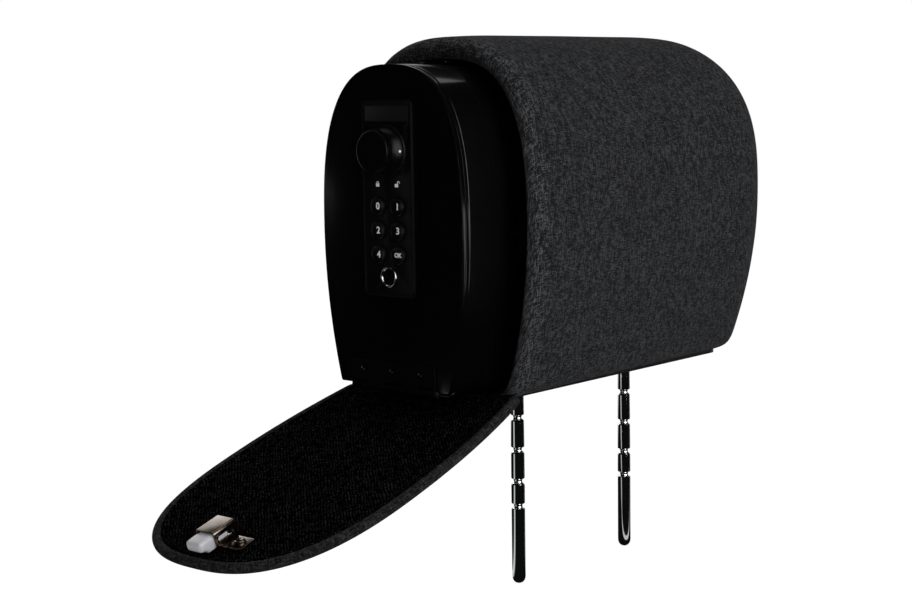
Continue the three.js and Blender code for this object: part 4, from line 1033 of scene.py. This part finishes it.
def makeFrame():
    outer = insetForm(vaultForm, vault["wall"] + vaultFrame["gap"])
    inner = insetForm(vaultForm, vault["wall"] + vaultFrame["width"])
    front, rear = vaultFrame["front"], vaultFrame["rear"]
    half, top = vaultFrame["notch"]
    piece = prism("frontFrame", sectionOutline(outer, 200), front, rear)
    cutAway(piece, prism("hollow", sectionOutline(inner, 200), front - clear, rear + clear),
            block("notch", (front - clear, rear + clear), (-half, half), (10, top)))
    return roundEdges(piece, 0.3)


finishPiece(makeSleeve(), "headrest", "paint", ["sleeve"])
finishPiece(makeShell(), "vault", "paint", ["vault_shell"])
finishPiece(makeFrame(), "vault", "paint", ["front_frame"])

matLow, matHigh = [Vector(corner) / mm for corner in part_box("floor_mat")]
matSize, matMiddle = matHigh - matLow, (matLow + matHigh) / 2
floorMat = roundEdges(prism("floorMat", roundedOutline(matSize.y, matSize.x, 5, matMiddle.x),
                            matLow.z, matHigh.z, axesZ), 0.5)
finishPiece(floorMat, "vault", "felt", ["floor_mat"])

# door plate, its hinge and rivets
door = {"front": -200.3, "rear": -193.1, "edge": 1.8, "reveal": (-196.7, -196.1),
        "revealDepth": 0.7, "skin": 2.5, "pocketFoot": 22.5, "foot": 17.2, "barrel": (39, 20.0),
        "hinge": (-198.6, 0, 16.4), "rivets": (-26.0, 0.0, 26.0), "rivetSpot": (-201.75, 28.0)}


def makeDoorPlate():
    across, wide = (door["front"] - 10, door["rear"] + 13), (-80, 80)
    half, top = door["barrel"]
    piece = prism("doorPlate", sectionOutline(vaultForm, 260), door["front"], door["rear"])
    pocket = prism("pocket", sectionOutline(insetForm(vaultForm, door["skin"]), 260),
                   door["front"] + door["skin"], door["rear"] + clear)
    cutAway(pocket, block("below", across, wide, (0, door["pocketFoot"])))
    cutAway(piece, block("foot", across, wide, (0, door["foot"])),
            block("barrel", across, (-half, half), (0, top)), pocket)
    roundEdges(piece, door["edge"], 5, 40)
    reveal = prism("reveal", sectionOutline(insetForm(vaultForm, -3), 260), *door["reveal"])
    core = sectionOutline(insetForm(vaultForm, door["revealDepth"]), 260)
    cutAway(piece, cutAway(reveal, prism("core", core, *across)))
    return roundEdges(piece, 0.45, 2, 50)


finishPiece(makeDoorPlate(), "door", "paint", ["door_plate"])
refined("door_hinge_fixed_leaf", "vault", "matt", "black_paint", 0.15)
refined("door_hinge_moving_leaf", "door", "matt", "black_paint", 0.15)
heads("doorRivets", [(door["rivetSpot"][0], y, door["rivetSpot"][1]) for y in door["rivets"]],
      (-1, 0, 0), rivetHead(2.3, 0.9), "door", "paint")
pinEnds = [(0, 37.6), (1.5, 37.6), (1.6, 37.3)]
hingePin = turned("doorHingePin", [(r, -y) for r, y in pinEnds] + pinEnds[::-1], door["hinge"],
                  24, (0, 1, 0))
finishPiece(hingePin, "vault", "darkZinc", ["door_hinge_pin"])
refined("door_back_cover", "door", "paint", "black_paint", 0.2)
refined("door_seal", "door", "rubber", "rubber", 0.4)
print("vault and door made")

# keypad panel, with its window, keys, signs and finger sensor
panel = {"rear": -200.6, "face": -203.3, "width": 44.0, "height": 131.0, "z": 144.5,
         "corner": 4.0, "edge": 0.28, "rim": 1.3, "sunk": 0.35, "labelZ": 201.2,
         "label": (38.6, 10.6), "labelX": (-203.2, -202.5), "labelDepth": 0.9,
         "keySpread": 8.8, "keyTop": 139.6, "keyPitch": 16.2, "keyRadius": 6.3,
         "keyBack": -198.6, "sensorZ": 92.0, "knobZ": 176.5}
ink = {"front": -203.42, "thick": 0.2, "number": 6.5, "word": 4.2, "signZ": 153.6}
keyNames = ["0", "1", "2", "3", "4", "ok"]
keySpots = {name: (panel["keySpread"] * (1 - 2 * (i % 2)),
                   panel["keyTop"] - (i // 2) * panel["keyPitch"])
            for i, name in enumerate(keyNames)}


def makePanel():
    front, rear, rim = panel["face"], panel["rear"], panel["rim"]
    width, height, corner = panel["width"], panel["height"], panel["corner"]
    labelWidth, labelHeight = panel["label"]
    piece = prism("keypadPanel", roundedOutline(width, height, corner, panel["z"]), front, rear)
    field = roundedOutline(width - 2 * rim, height - 2 * rim, corner - rim, panel["z"])
    label = roundedOutline(labelWidth + 0.6, labelHeight + 0.6, 1.2, panel["labelZ"])
    holes = [circleOutline(4.4, 0, panel["knobZ"]), circleOutline(7.3, 0, panel["sensorZ"], 64)]
    holes += [circleOutline(panel["keyRadius"] + 0.4, y, z, 56) for y, z in keySpots.values()]
    cutAway(piece, prism("field", field, front - clear, front + panel["sunk"]),
            prism("label", label, front - clear, front + panel["labelDepth"]),
            *[prism("hole", hole, front - clear, rear + clear) for hole in holes])
    return roundEdges(piece, panel["edge"], 3)


finishPiece(makePanel(), "door", "plastic", ["keypad_panel"])
window = prism("labelWindow", roundedOutline(*panel["label"], 1.0, panel["labelZ"]),
               *panel["labelX"])
finishPiece(roundEdges(window, 0.15), "door", "label", ["label_window"])


def makeKey(name):
    # a flat collar, a rounded rim and a shallow dish
    r = panel["keyRadius"]
    profile = [(0, 0), (2.2, 0), (2.2, 3.0), (r, 3.0), (r, 4.75), (r - 0.08, 5.0),
               (r - 0.28, 5.15), (r - 0.6, 5.2), (r - 0.95, 5.14)]
    profile += [(5.2 * s, 5.1 - 0.55 * (1 - s * s)) for s in np.linspace(1, 0, 9)]
    key = turned("key_cap_" + name, profile, (panel["keyBack"], *keySpots[name]), 56)
    finishPiece(key, "key_" + name, "keyCap", ["key_" + name], 30)


def makeText(name, text, size, y, z, body):
    curve = bpy.data.curves.new(name, "FONT")
    curve.body, curve.size = text, size * mm
    curve.align_x, curve.align_y = "CENTER", "CENTER"
    curve.extrude, curve.resolution_u = ink["thick"] * mm / 2, 6
    curve.offset = 0.0001
    words = newPiece(name + "Text", curve)
    graph = bpy.context.evaluated_depsgraph_get()
    piece = newPiece(name, bpy.data.meshes.new_from_object(words.evaluated_get(graph)))
    bpy.data.objects.remove(words)
    reworked(piece, merge=1e-7)
    spots = np.array([v.co for v in piece.data.vertices])
    middle = (spots.max(0) + spots.min(0)) / 2 / mm
    movedBy(piece, [(0, -1, 0), (0, 0, 1), (-1, 0, 0)],
            (ink["front"] + ink["thick"] / 2, y + middle[0], z - middle[1]))
    finishPiece(piece, body, "ink")


for name in keyNames:
    makeKey(name)
    size = ink["number"] if name.isdigit() else ink["word"]
    makeText("key_mark_" + name, name.upper(), size, *keySpots[name], "key_" + name)


def makeLockSign(name, y, z, lifted):
    # a padlock sign of two raised strips of ink
    field = panel["face"] + panel["sunk"]
    front, back = field - 0.14, field + 0.05
    piece = prism(name, roundedOutline(2.9, 2.2, 0.35, z, y, 4), front, back)
    shift, leg, free = (-1.75, 0.9, 1.5) if lifted else (0.0, 0.35, 0.9)
    sides = []
    for radius in (1.02, 0.58):
        arc = [(y + shift + radius * math.cos(a), z + 1.1 + leg + radius * math.sin(a))
               for a in np.linspace(0, math.pi, 15)]
        sides.append([(y + shift + radius, z + 0.9)] + arc + [(y + shift - radius, z + free)])
    shackle = np.array(sides[0] + sides[1][::-1])
    combine(piece, [prism("shackle", shackle, front, back)], "UNION")
    finishPiece(piece, "door", "ink")


makeLockSign("signLocked", panel["keySpread"], ink["signZ"], False)
makeLockSign("signOpen", -panel["keySpread"] + 0.6, ink["signZ"], True)

sensorSpot = (panel["rear"], 0, panel["sensorZ"])
ring = turned("sensorRing", [(5.5, 0), (7.0, 0), (7.0, 3.0), (6.88, 3.35), (6.55, 3.58),
                             (6.2, 3.52), (5.75, 3.1), (5.5, 2.6)], sensorSpot, 80)
finishPiece(ring, "door", "ringMetal", ["sensor_ring"], 60)
pad = turned("sensorPad", [(0, 0), (5.3, 0), (5.3, 1.85), (5.1, 2.05), (3.0, 2.17), (0, 2.2)],
             sensorSpot, 64)
finishPiece(pad, "door", "gloss", ["sensor_pad"])
print("keypad made")

# knob
knob = {"back": -205.4, "radius": 13.9, "skirt": 17.0, "depth": 12.8,
        "grooves": (4.6, 3.1, 1.6), "grooveDepth": 0.45, "baseBack": -203.4, "dot": 10.4}


def makeKnob():
    # from its back: a cone, then a cap with three fine grooves round it
    r, s, d = knob["radius"], knob["skirt"], knob["depth"]
    floor = r - knob["grooveDepth"]
    profile = [(0, 0), (s - 0.7, 0), (s - 0.15, 0.2), (s, 0.6), (s - 0.05, 0.95),
               (r + 0.25, d - 5.5), (r, d - 5.3)]
    for level in (d - groove for groove in knob["grooves"]):
        profile += [(r, level - 0.3), (floor, level - 0.12), (floor, level + 0.12),
                    (r, level + 0.3)]
    profile += [(r, d - 0.85), (r - 0.12, d - 0.5), (r - 0.45, d - 0.18), (r - 0.95, d - 0.02),
                (r - 1.4, d), (r - 1.7, d - 0.18), (0, d - 0.25)]
    return turned("knobBody", profile, (knob["back"], 0, panel["knobZ"]), 96)


finishPiece(makeKnob(), "knob", "knobPlastic", ["knob"], 30)
base = turned("knobBaseRing", [(4.4, 0), (17.3, 0), (17.3, 0.9), (17.15, 1.3), (16.8, 1.55),
                               (16.4, 1.6), (4.4, 1.6)], (knob["baseBack"], 0, panel["knobZ"]),
              96)
finishPiece(base, "door", "plastic", ["knob_base_ring"])
lean = math.atan2(knob["skirt"] - knob["radius"] - 0.3, knob["depth"] - 6.4)
dotRadius = knob["radius"] + 0.25 + (knob["dot"] - 5.5) * math.tan(lean)
dot = turned("indexDot", [(0, -0.2), (0.85, -0.2), (0.82, 0.12), (0.6, 0.2), (0, 0.22)],
             (knob["back"] - knob["depth"] + knob["dot"], -dotRadius, panel["knobZ"]), 24,
             (-math.sin(lean), -math.cos(lean), 0))
finishPiece(dot, "knob", "ink")
print("knob made")

# inside the door and the body: CAD parts with rounded edges
inside = {  # finish, slot, edge, and a name where it isn't the part's own
    "lock_case": ("zinc", "zinc", 0.5),
    "solenoid": ("darkZinc", "zinc", 0.4, "solenoidCoil"),
    "battery_box": ("plastic", "black_plastic", 0.4),
    "battery_lid": ("plastic", "black_plastic", 0.4),
    "battery": ("wrap", "battery_wrap", 1.2, "batteryCell"),
    "circuit_board": ("circuit", "circuit", 0.1),
    "bolt_front": ("steel", "zinc", 0.2),
    "bolt_back": ("steel", "zinc", 0.2),
    "knob_spindle": ("steel", "zinc", 0.1),
    "solenoid_plunger": ("chrome", "chrome", 0.2),
    "outer_rail_front": ("darkZinc", "black_zinc", 0.2),
    "outer_rail_back": ("darkZinc", "black_zinc", 0.2),
    "inner_rail_front": ("matt", "black_zinc", 0.2),
    "inner_rail_back": ("matt", "black_zinc", 0.2),
    "floor_glide": ("nylon", "nylon", 0.2),
    "channel_near": ("zinc", "zinc", 0.2),
    "channel_far": ("zinc", "zinc", 0.2),
    "post_nut_near": ("zinc", "zinc", 0.3),
    "post_nut_far": ("zinc", "zinc", 0.3),
    "strike_plate": ("paint", "black_paint", 0.2),
    "flap_hinge_fixed_leaf": ("paint", "black_paint", 0.15),
    "flap_hinge_pin": ("darkZinc", "zinc", 0.1),
    "flap_hinge_moving_leaf": ("paint", "black_paint", 0.15),
    "flap_board": ("board", "board", 0.6),
}
bodies = frame["record"]["behaviour"]["bodies"]
nodeBody = {node: body for body, members in bodies.items() for node in members}
for node, row in inside.items():
    refined(node, nodeBody[node], *row)
heads("lockScrews", [(-175.6, y, z) for y in (-29.0, 29.0) for z in (162.0, 191.0)], (1, 0, 0),
      crossHead(2.6, 1.2, 0.8), "door", "zinc", 21)
heads("batteryLidScrews", [(-171.9, y, 96.0) for y in (-22.5, 22.5)], (1, 0, 0),
      crossHead(2.2, 1.0, 0.7), "door", "darkZinc", 5)
print("inner parts dressed")


# flap: ribbed lining, binding, outer cloth and stitches
flap = {"liningIn": 6.1, "liningRise": (9.6, 1.9, 2.2), "liningBack": 0.7, "liningFace": 1.75,
        "liningDrop": 0.9, "rib": 0.2, "ribPitch": 3.96, "rings": 84, "around": 480,
        "centre": (0.0, 112.0), "edgeShare": 0.95, "edgeRings": 8, "backRings": 6}
outerCloth = {"in": 9.6, "edge": -3.2, "crown": 1.5, "thick": 0.8, "reach": (76.0, 114.0),
              "around": 220, "rings": 30}
roll = {"in": 4.8, "level": -0.3, "step": 2.2, "girth": 4.2, "points": 48,
        "lobes": (((1.35, -0.75), 3.45), ((-2.1, 0.75), 2.75)),  # piping, and its inner fold
        "tail": ((-2.6, -5.5), (-1.7, -3.0), (-0.9, 0.0), (-0.3, 2.6))}
seam = {"in": 10.4, "level": 2.05, "from": 9.0, "length": 2.6, "radius": 0.28, "pitch": 3.6}
flapAxes = flapFrame()[[1, 2, 0]]  # X across, Y up the flap, Z out of its lining


def inFlap(piece):
    return movedBy(piece, flapAxes, flapHinge["place"])


def layerOutline(by, count):
    return sectionOutline({**insetForm(flapForm, by), "bottom": flapForm["bottom"]}, count)


def ribHeight(y, u):
    # raised diagonal ribs, a little wavy
    across = (y + u) / math.sqrt(2) + 0.35 * np.sin((u - y) * 0.16) + 0.15 * np.sin((u - y) * 0.9)
    return flap["rib"] * (np.abs(np.cos(math.pi * across / flap["ribPitch"])) ** 0.8 * 2 - 1)


def roundedSheet(name, outline, rings, face, back, height, edgeDrop):
    # a closed thin sheet, from its face's middle out to its edge and back underneath
    centre = np.array(flap["centre"])

    def ring(s, level):
        flat = centre + (outline - centre) * s
        return np.column_stack([flat, level(flat[:, 0], flat[:, 1], s)])

    def front(y, u, s):
        return face + height(y, u, s) - edgeDrop * np.clip((s - 0.985) / 0.015, 0, 1) ** 2

    inner, few = flap["edgeShare"], flap["edgeRings"]
    shares = np.concatenate([np.linspace(1.0, inner, few + 1)[:-1],
                             np.linspace(inner, 0.0, rings - few + 1)[:-1]])
    layers = [np.array([[*centre, face]])] + [ring(s, front) for s in shares[::-1]]
    layers += [ring(s, back) for s in np.linspace(1.0, 0.0, flap["backRings"] + 1)[:-1]]
    piece = lofted(name, layers + [ring(0.0, back)[:1]])
    points = coordsOf(piece.data)
    return inFlap(layMap(piece, lambda corners: points[corners][:, :2]))


def liningRise(y, u, s):
    # the lining climbs over the binding's inner fold
    reach = np.hypot(y - flap["centre"][0], u - flap["centre"][1]) / max(s, 0.01) * (1 - s)
    start, rise, run = flap["liningRise"]
    return rise * np.clip((start - flap["liningIn"] - reach) / run, 0, 1) ** 0.7


def clothCrown(y, u):
    wide, tall = outerCloth["reach"]
    out = np.sqrt((y / wide) ** 2 + ((u - flap["centre"][1]) / tall) ** 2)
    return outerCloth["crown"] * np.clip(1 - out ** 3, 0, 1)


liningOutline = layerOutline(flap["liningIn"], flap["around"])
lining = roundedSheet("flapLining", liningOutline, flap["rings"], flap["liningFace"],
                      lambda y, u, s: np.full(len(y), flap["liningBack"]),
                      lambda y, u, s: liningRise(y, u, s) + ribHeight(y, u), flap["liningDrop"])
finishPiece(lining, "flap", "lining", ["flap_lining"], 60)

clothOutline = layerOutline(outerCloth["in"], outerCloth["around"])
clothBack = outerCloth["edge"] - outerCloth["thick"]
flapCloth = roundedSheet("flapCloth", clothOutline, outerCloth["rings"], outerCloth["edge"],
                         lambda y, u, s: clothBack - clothCrown(y, u) * 0.5,
                         lambda y, u, s: -clothCrown(y, u) * 0.3, 0.0)
finishPiece(flapCloth, "flap", "flapCloth", ["flap_cover"], 60)


def bindingPath():
    outline = halfOutline(insetForm(flapForm, roll["in"]))
    rise = outline[outline[:, 1] > flapForm["bottom"] + roll["in"]]
    flat = mirrored(np.concatenate([np.array(roll["tail"]) + (rise[0][0], 0), rise]))
    return np.column_stack([flat, np.full(len(flat), roll["level"])])


def bindingProfile():
    # the outline round two overlapping circles
    points = []
    for a in np.linspace(0, 2 * math.pi, roll["points"], endpoint=False):
        way = np.array([math.cos(a), math.sin(a)])
        reach = 0.0
        for centre, radius in roll["lobes"]:
            near = way @ np.array(centre)
            root = radius ** 2 - (np.dot(centre, centre) - near ** 2)
            if root > 0:
                reach = max(reach, near + math.sqrt(root))
        points.append((*(way * reach), 0.0))
    return points


def layRound(piece, path):
    # along the roll's path, and round it
    spots = np.array([v.co for v in piece.data.vertices]) / mm
    nearest = np.array([((path[:, :2] - spot[:2]) ** 2).sum(1).argmin() for spot in spots])
    run = lengths(path)[nearest]
    way = spots[:, :2] - path[nearest, :2]
    inward = np.sign((way * (path[nearest, :2] - flap["centre"])).sum(1))
    about = np.arctan2(spots[:, 2] - path[nearest, 2], inward * np.linalg.norm(way, axis=1))

    def spotsOf(corners):
        angles = about[corners]
        wraps = angles.max() - angles.min() > math.pi
        angles = np.where(wraps & (angles < 0), angles + 2 * math.pi, angles)
        return np.column_stack([angles * roll["girth"] * mm, run[corners] * mm])

    return layMap(piece, spotsOf)


def makeBinding():
    spots = bindingProfile()
    edges = [(i, (i + 1) % len(spots)) for i in range(len(spots))]
    piece = runTree(lineOf("flapBinding", bindingPath()), "sweep", Step=roll["step"] * mm,
                    Profile=pieceFrom("bindingProfile", spots, edges=edges),
                    Material=finish["binding"])
    reworked(piece, merge=1e-7, outward=True)
    return inFlap(layRound(piece, bindingPath()))


binding = finishPiece(makeBinding(), "flap", "binding", ["flap_binding"], 60)


def stitch(length, radius):
    # one thread stitch along X
    profile = [(0, 0), (radius * 0.7, 0.05), (radius, length * 0.25), (radius, length * 0.75),
               (radius * 0.7, length - 0.05), (0, length)]
    return turned("stitch", profile, (-length / 2, 0, 0), 8, (1, 0, 0))


def makeStitches():
    outline = halfOutline(insetForm(flapForm, seam["in"]))
    flat = mirrored(outline[outline[:, 1] > seam["from"]])
    piece = lineOf("liningStitches", np.column_stack([flat, np.full(len(flat), seam["level"])]))
    return inFlap(runTree(piece, "stitch", Part=stitch(seam["length"], seam["radius"]),
                          Pitch=seam["pitch"] * mm, Material=finish["thread"]))


finishPiece(makeStitches(), "flap", "thread")
print("flap made")

# catch: a case of bent strip on two feet, and a sprung nose
catch = {"start": 201.0, "length": 14.0, "width": 16.5, "low": 2.1, "high": 15.1, "sheet": 1.1,
         "corner": 2.0, "foot": (45.0, 14.0, 1.6), "caseEnd": 219.0, "slot": (12.6, 3.4, 1.6),
         "slotLevel": 9.2, "eye": (1.7, 4.6, 0.8), "eyeY": 10.2, "screwY": 15.4,
         "screwLevel": 3.3, "edge": 0.28}
nose = {"tail": 206.5, "end": 230.7, "width": 13.4, "low": 6.4, "high": 13.1, "step": 11.6,
        "stepRun": 2.6, "stepLow": 3.5, "edge": 2.3}
upright = np.eye(3)  # an outline (across, up the flap), carried out of it
catchMiddle = catch["start"] + catch["length"] / 2


def makeCase():
    low, high, start, end = catch["low"], catch["high"], catch["start"], catch["caseEnd"]
    width, sheet, middle = catch["width"], catch["sheet"], (low + high) / 2
    piece = prism("catchCase", roundedOutline(width, high - low, catch["corner"], middle), start,
                  end, axesY)
    hollow = roundedOutline(width - 2 * sheet, high - low - 2 * sheet, 1.0, middle)
    slot = roundedOutline(*catch["slot"], catch["slotLevel"], (start + end) / 2 + 0.4)
    feet = prism("feet", roundedOutline(*catch["foot"], catchMiddle), low, low + sheet, upright)
    combine(piece, [feet], "UNION")
    cutAway(piece, prism("hollow", hollow, start - clear, end + clear, axesY),
            prism("slot", slot, -20, 20, axesX),
            *[prism("eye", roundedOutline(*catch["eye"], catchMiddle, side * catch["eyeY"], 5),
                    0, 6, upright) for side in (-1, 1)])
    return inFlap(roundEdges(piece, catch["edge"], 3))


def makeNose():
    half, end, tail = nose["width"] / 2, nose["end"], nose["tail"]
    low, high, under = nose["low"], nose["high"], nose["stepLow"]
    rise = flapForm["top"] - nose["step"]
    side = np.array([(tail, under), (rise, under), (rise + nose["stepRun"], low - 0.5),
                     (end, low), (end, high), (tail, high)])
    piece = prism("catchNose", boxOutline(-half, half, tail, end), 0, 20, upright)
    combine(piece, [prism("side", side, -10, 10, axesX)], "INTERSECT")
    return inFlap(roundEdges(piece, nose["edge"], 5, 50))


finishPiece(makeCase(), "flap", "nickel", ["catch_case"])
finishPiece(makeNose(), "catch_plunger", "nylon", ["catch_plunger"], 50)
screwPoints = [(catch["screwLevel"], side * catch["screwY"], catchMiddle) for side in (-1, 1)]
catchScrews = heads("catchScrews", flapPoint(screwPoints), tuple(flapFrame()[0]),
                    crossHead(4.6, 1.9, 1.4), "flap", "nickel", 9)
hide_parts("catch_screw_front", "catch_screw_back")
print("catch made")

# cloth over the flap's hinge, inside and outside
strip = {"rows": 40, "columns": 121, "thick": 0.7, "shares": (0, 0.3, 0.5, 1), "ribShare": 0.6,
         "join": 8.0}
hingeStrips = {
    "hingeLining": {
        "path": [(-144.5, 10.5), (-149, 10.3), (-154, 9.8), (-159, 9.4), (-163, 8.3),
                 (-168.2, 5.9), (-172, 4.6), (-175.8, 3.4)],
        "halves": (61.5, 62.5, 67.0, 66.5), "look": "lining", "slot": "lining",
        "start": (-0.1525, 0, 0.0095), "end": (-0.1660, 0, 0.0070)},
    "hingeCloth": {
        "path": [(-142.4, 3.6), (-146, 2.9), (-152, 2.7), (-158, 2.4), (-162, 1.2),
                 (-166, -1.0), (-171.8, -3.4)],
        "halves": (61.0, 62.0, 66.5, 66.0), "look": "flapCloth", "slot": "cloth",
        "start": (-0.1520, 0, 0.003), "end": (-0.1650, 0, -0.001)},
}


def hingeStrip(name, path, halves, look, slot, start, end):
    rows, columns = strip["rows"], strip["columns"]
    path = resample(path, rows)
    halves = np.interp(np.linspace(0, 1, rows), strip["shares"], halves)
    way = np.gradient(path, axis=0)
    normal = np.column_stack([-way[:, 1], way[:, 0]])
    normal /= np.linalg.norm(normal, axis=1, keepdims=True) * np.sign(normal[0][1])
    along = lengths(path)
    layers = []
    for level in (strip["thick"] / 2, -strip["thick"] / 2):
        for p, n, half, run in zip(path, normal, halves, along):
            y = np.linspace(-half, half, columns)
            ribbed = look == "lining" and level > 0
            relief = ribHeight(y, strip["join"] - run) * strip["ribShare"] * ribbed
            layers.append(np.column_stack([p[0] + n[0] * (level + relief), y,
                                           p[1] + n[1] * (level + relief)]))
    size = rows * columns
    index = np.arange(size).reshape(rows, columns)
    faces = []
    for i in range(rows - 1):
        for a, b in zip(index[i, :-1].tolist(), index[i, 1:].tolist()):
            faces.append((a, b, b + columns, a + columns))
            faces.append((size + b, size + a, size + a + columns, size + b + columns))
    edge = [*index[0], *index[1:, -1], *index[-1, -2::-1], *index[-2:0:-1, 0]]
    edge = [int(k) for k in edge]
    faces += bridge(edge, [size + k for k in edge])
    piece = reworked(pieceFrom(name, np.concatenate(layers), faces), outward=True)
    points = coordsOf(piece.data)
    layMap(piece, lambda corners: [(points[k][1], (strip["join"] - along[k % size // columns])
                                    * mm) for k in corners])
    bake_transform(dress(piece, look, 60))


for name, values in hingeStrips.items():
    hingeStrip(name, **values)
print("hinge cloth made")


# camera, floor and lights
view = {"place": (-1.0779, -0.8104, 0.2230), "yaw": -49.33, "tilt": 82.84, "roll": -0.87,
        "lens": 70.62}
cameraData = bpy.data.cameras.new("camera")
cameraData.lens = view["lens"]
cameraData.sensor_width = 36
camera = newPiece("camera", cameraData)
turn = reduce(lambda first, second: first @ second,
              [Matrix.Rotation(math.radians(view[label]), 4, axis)
               for label, axis in (("yaw", "Z"), ("tilt", "X"), ("roll", "Z"))])
camera.matrix_world = Matrix.Translation(view["place"]) @ turn
bpy.context.scene.camera = camera
bpy.context.scene.view_settings.view_transform = "Standard"

studio = {"floor": -0.1493, "floorSize": 12.0, "floorWhite": 1.07, "floorMix": 0.91,
          "ambient": 0.32, "roomSide": 0.005, "away": (0.756, 0.654, 0.0),
          "strip": (-0.934, 0.358), "stripWide": 0.2, "stripLevel": 0.75,
          "stripReach": (0.8, 0.9), "edge": (-0.02, -1.0), "edgeWide": 0.42,
          "edgeLevel": 6.0, "edgeReach": (0.92, 1.0)}


def dotWith(tree, vector, fixed):
    return vectorCalc(tree, "DOT_PRODUCT", vector, fixed, out="Value")


def wedgeLight(tree, vector, side, reach, levels):
    # a light in a wedge towards one side of the room, as gloss sees it
    x, y = studio[side]
    wide = studio[side + "Wide"]
    along = calc(tree, "MAXIMUM", dotWith(tree, vector, (x, y, 0)), 0.03)
    across = calc(tree, "ABSOLUTE", dotWith(tree, vector, (-y, x, 0)))
    wedge = spread(tree, calc(tree, "DIVIDE", across, along), wide * 0.6, wide, 1, 0)
    away = spread(tree, vectorCalc(tree, "LENGTH", vector, out="Value"), *reach, *levels)
    return times(tree, wedge, away, studio[side + "Level"])


def makeWorld():
    # white for the camera; gloss sees a white backdrop behind the object in a dim room
    world = bpy.data.worlds.new("studio")
    bpy.context.scene.world = world
    world.use_nodes = True
    tree = world.node_tree
    rays = tree.nodes.new("ShaderNodeLightPath").outputs
    way = tree.nodes.new("ShaderNodeTexCoord").outputs["Generated"]
    height = calc(tree, "ABSOLUTE", dotWith(tree, way, (0, 0, 1)))
    behind = times(tree, spread(tree, dotWith(tree, way, studio["away"]), 0.5, 0.8),
                   spread(tree, height, 0.25, 0.5, 1.0, 0.0))
    side = times(tree, wedgeLight(tree, way, "edge", (-1.0, 0.0), (0, 1)),
                 spread(tree, height, 0.6, 0.8, 1.0, 0.0))
    room = calc(tree, "MAXIMUM", calc(tree, "MAXIMUM", behind, side), studio["roomSide"])
    mirror = rays["Is Glossy Ray"]
    level = plus(tree, times(tree, mirror, room),
                 times(tree, calc(tree, "SUBTRACT", 1.0, mirror), studio["ambient"]))
    feedAll(tree, tree.nodes["Background"], Color=1.0,
            Strength=calc(tree, "MAXIMUM", level, rays["Is Camera Ray"]))


def makeFloor():
    size = studio["floorSize"] / 2 / mm
    corners = [(*corner, studio["floor"] / mm) for corner in boxOutline(-size, size, -size, size)]
    floor = pieceFrom("floor", corners, [(0, 1, 2, 3)])
    material, tree, shader, place = newMaterial("paleFloor")
    spot = place["Object"]
    tone = spread(tree, noise(tree, spot, 3.0), 0.3, 0.7)
    feedAll(tree, shader, Base_Color=blendColour(tree, tone, 0.86, 0.9), Roughness=0.9,
            Specular_IOR_Level=0.0)
    rays = tree.nodes.new("ShaderNodeLightPath").outputs
    white = newNode(tree, "ShaderNodeEmission", Strength=studio["floorWhite"])
    lit = calc(tree, "MAXIMUM", spread(tree, dotWith(tree, spot, studio["away"]), 0.25, 0.6),
               wedgeLight(tree, spot, "strip", studio["stripReach"], (1, 0)))
    lit = calc(tree, "MAXIMUM", lit, wedgeLight(tree, spot, "edge", studio["edgeReach"], (0, 1)))
    mirror = newNode(tree, "ShaderNodeEmission",
                     Strength=calc(tree, "MAXIMUM", lit, studio["roomSide"]))

    def mixed(factor, first, second):
        mix = newNode(tree, "ShaderNodeMixShader", Fac=factor)
        feed(tree, mix.inputs[1], first)
        feed(tree, mix.inputs[2], second)
        return mix.outputs[0]

    seen = times(tree, rays["Is Camera Ray"], studio["floorMix"])
    top = mixed(seen, shader.outputs["BSDF"], white.outputs["Emission"])
    top = mixed(rays["Is Glossy Ray"], top, mirror.outputs["Emission"])
    under = tree.nodes.new("ShaderNodeBsdfTransparent").outputs["BSDF"]
    back = tree.nodes.new("ShaderNodeNewGeometry").outputs["Backfacing"]
    feed(tree, tree.nodes["Material Output"].inputs["Surface"], mixed(back, top, under))
    floor.data.materials.append(material)


lamps = {
    "sideSoftbox": {"place": (-0.2, -1.6, 0.45), "aim": (0.0, 0.0, 0.08), "size": (1.3, 1.1),
                    "power": 13.0},
    "topSoftbox": {"place": (0.15, 0.1, 1.5), "aim": (0.0, 0.0, 0.1), "size": (1.2, 1.0),
                   "power": 5.0},
    "frontFill": {"place": (-1.2, -1.5, 0.2), "aim": (-0.1, 0.0, 0.1), "size": (0.6, 0.6),
                  "power": 4.6},
    "backFill": {"place": (0.6, 1.5, 0.9), "aim": (0.0, 0.0, 0.1), "size": (1.0, 0.8),
                 "power": 6.0},
}


def makeLamp(name, place, aim, size, power):
    data = bpy.data.lights.new(name, "AREA")
    data.shape = "RECTANGLE"
    data.size, data.size_y = size
    data.energy = power
    lamp = newPiece(name, data)
    lamp.location = place
    lamp.rotation_mode = "QUATERNION"
    lamp.rotation_quaternion = (Vector(aim) - Vector(place)).to_track_quat("-Z", "Y")


makeWorld()
makeFloor()
for name, values in lamps.items():
    makeLamp(name, **values)
print("camera, floor and lights set")
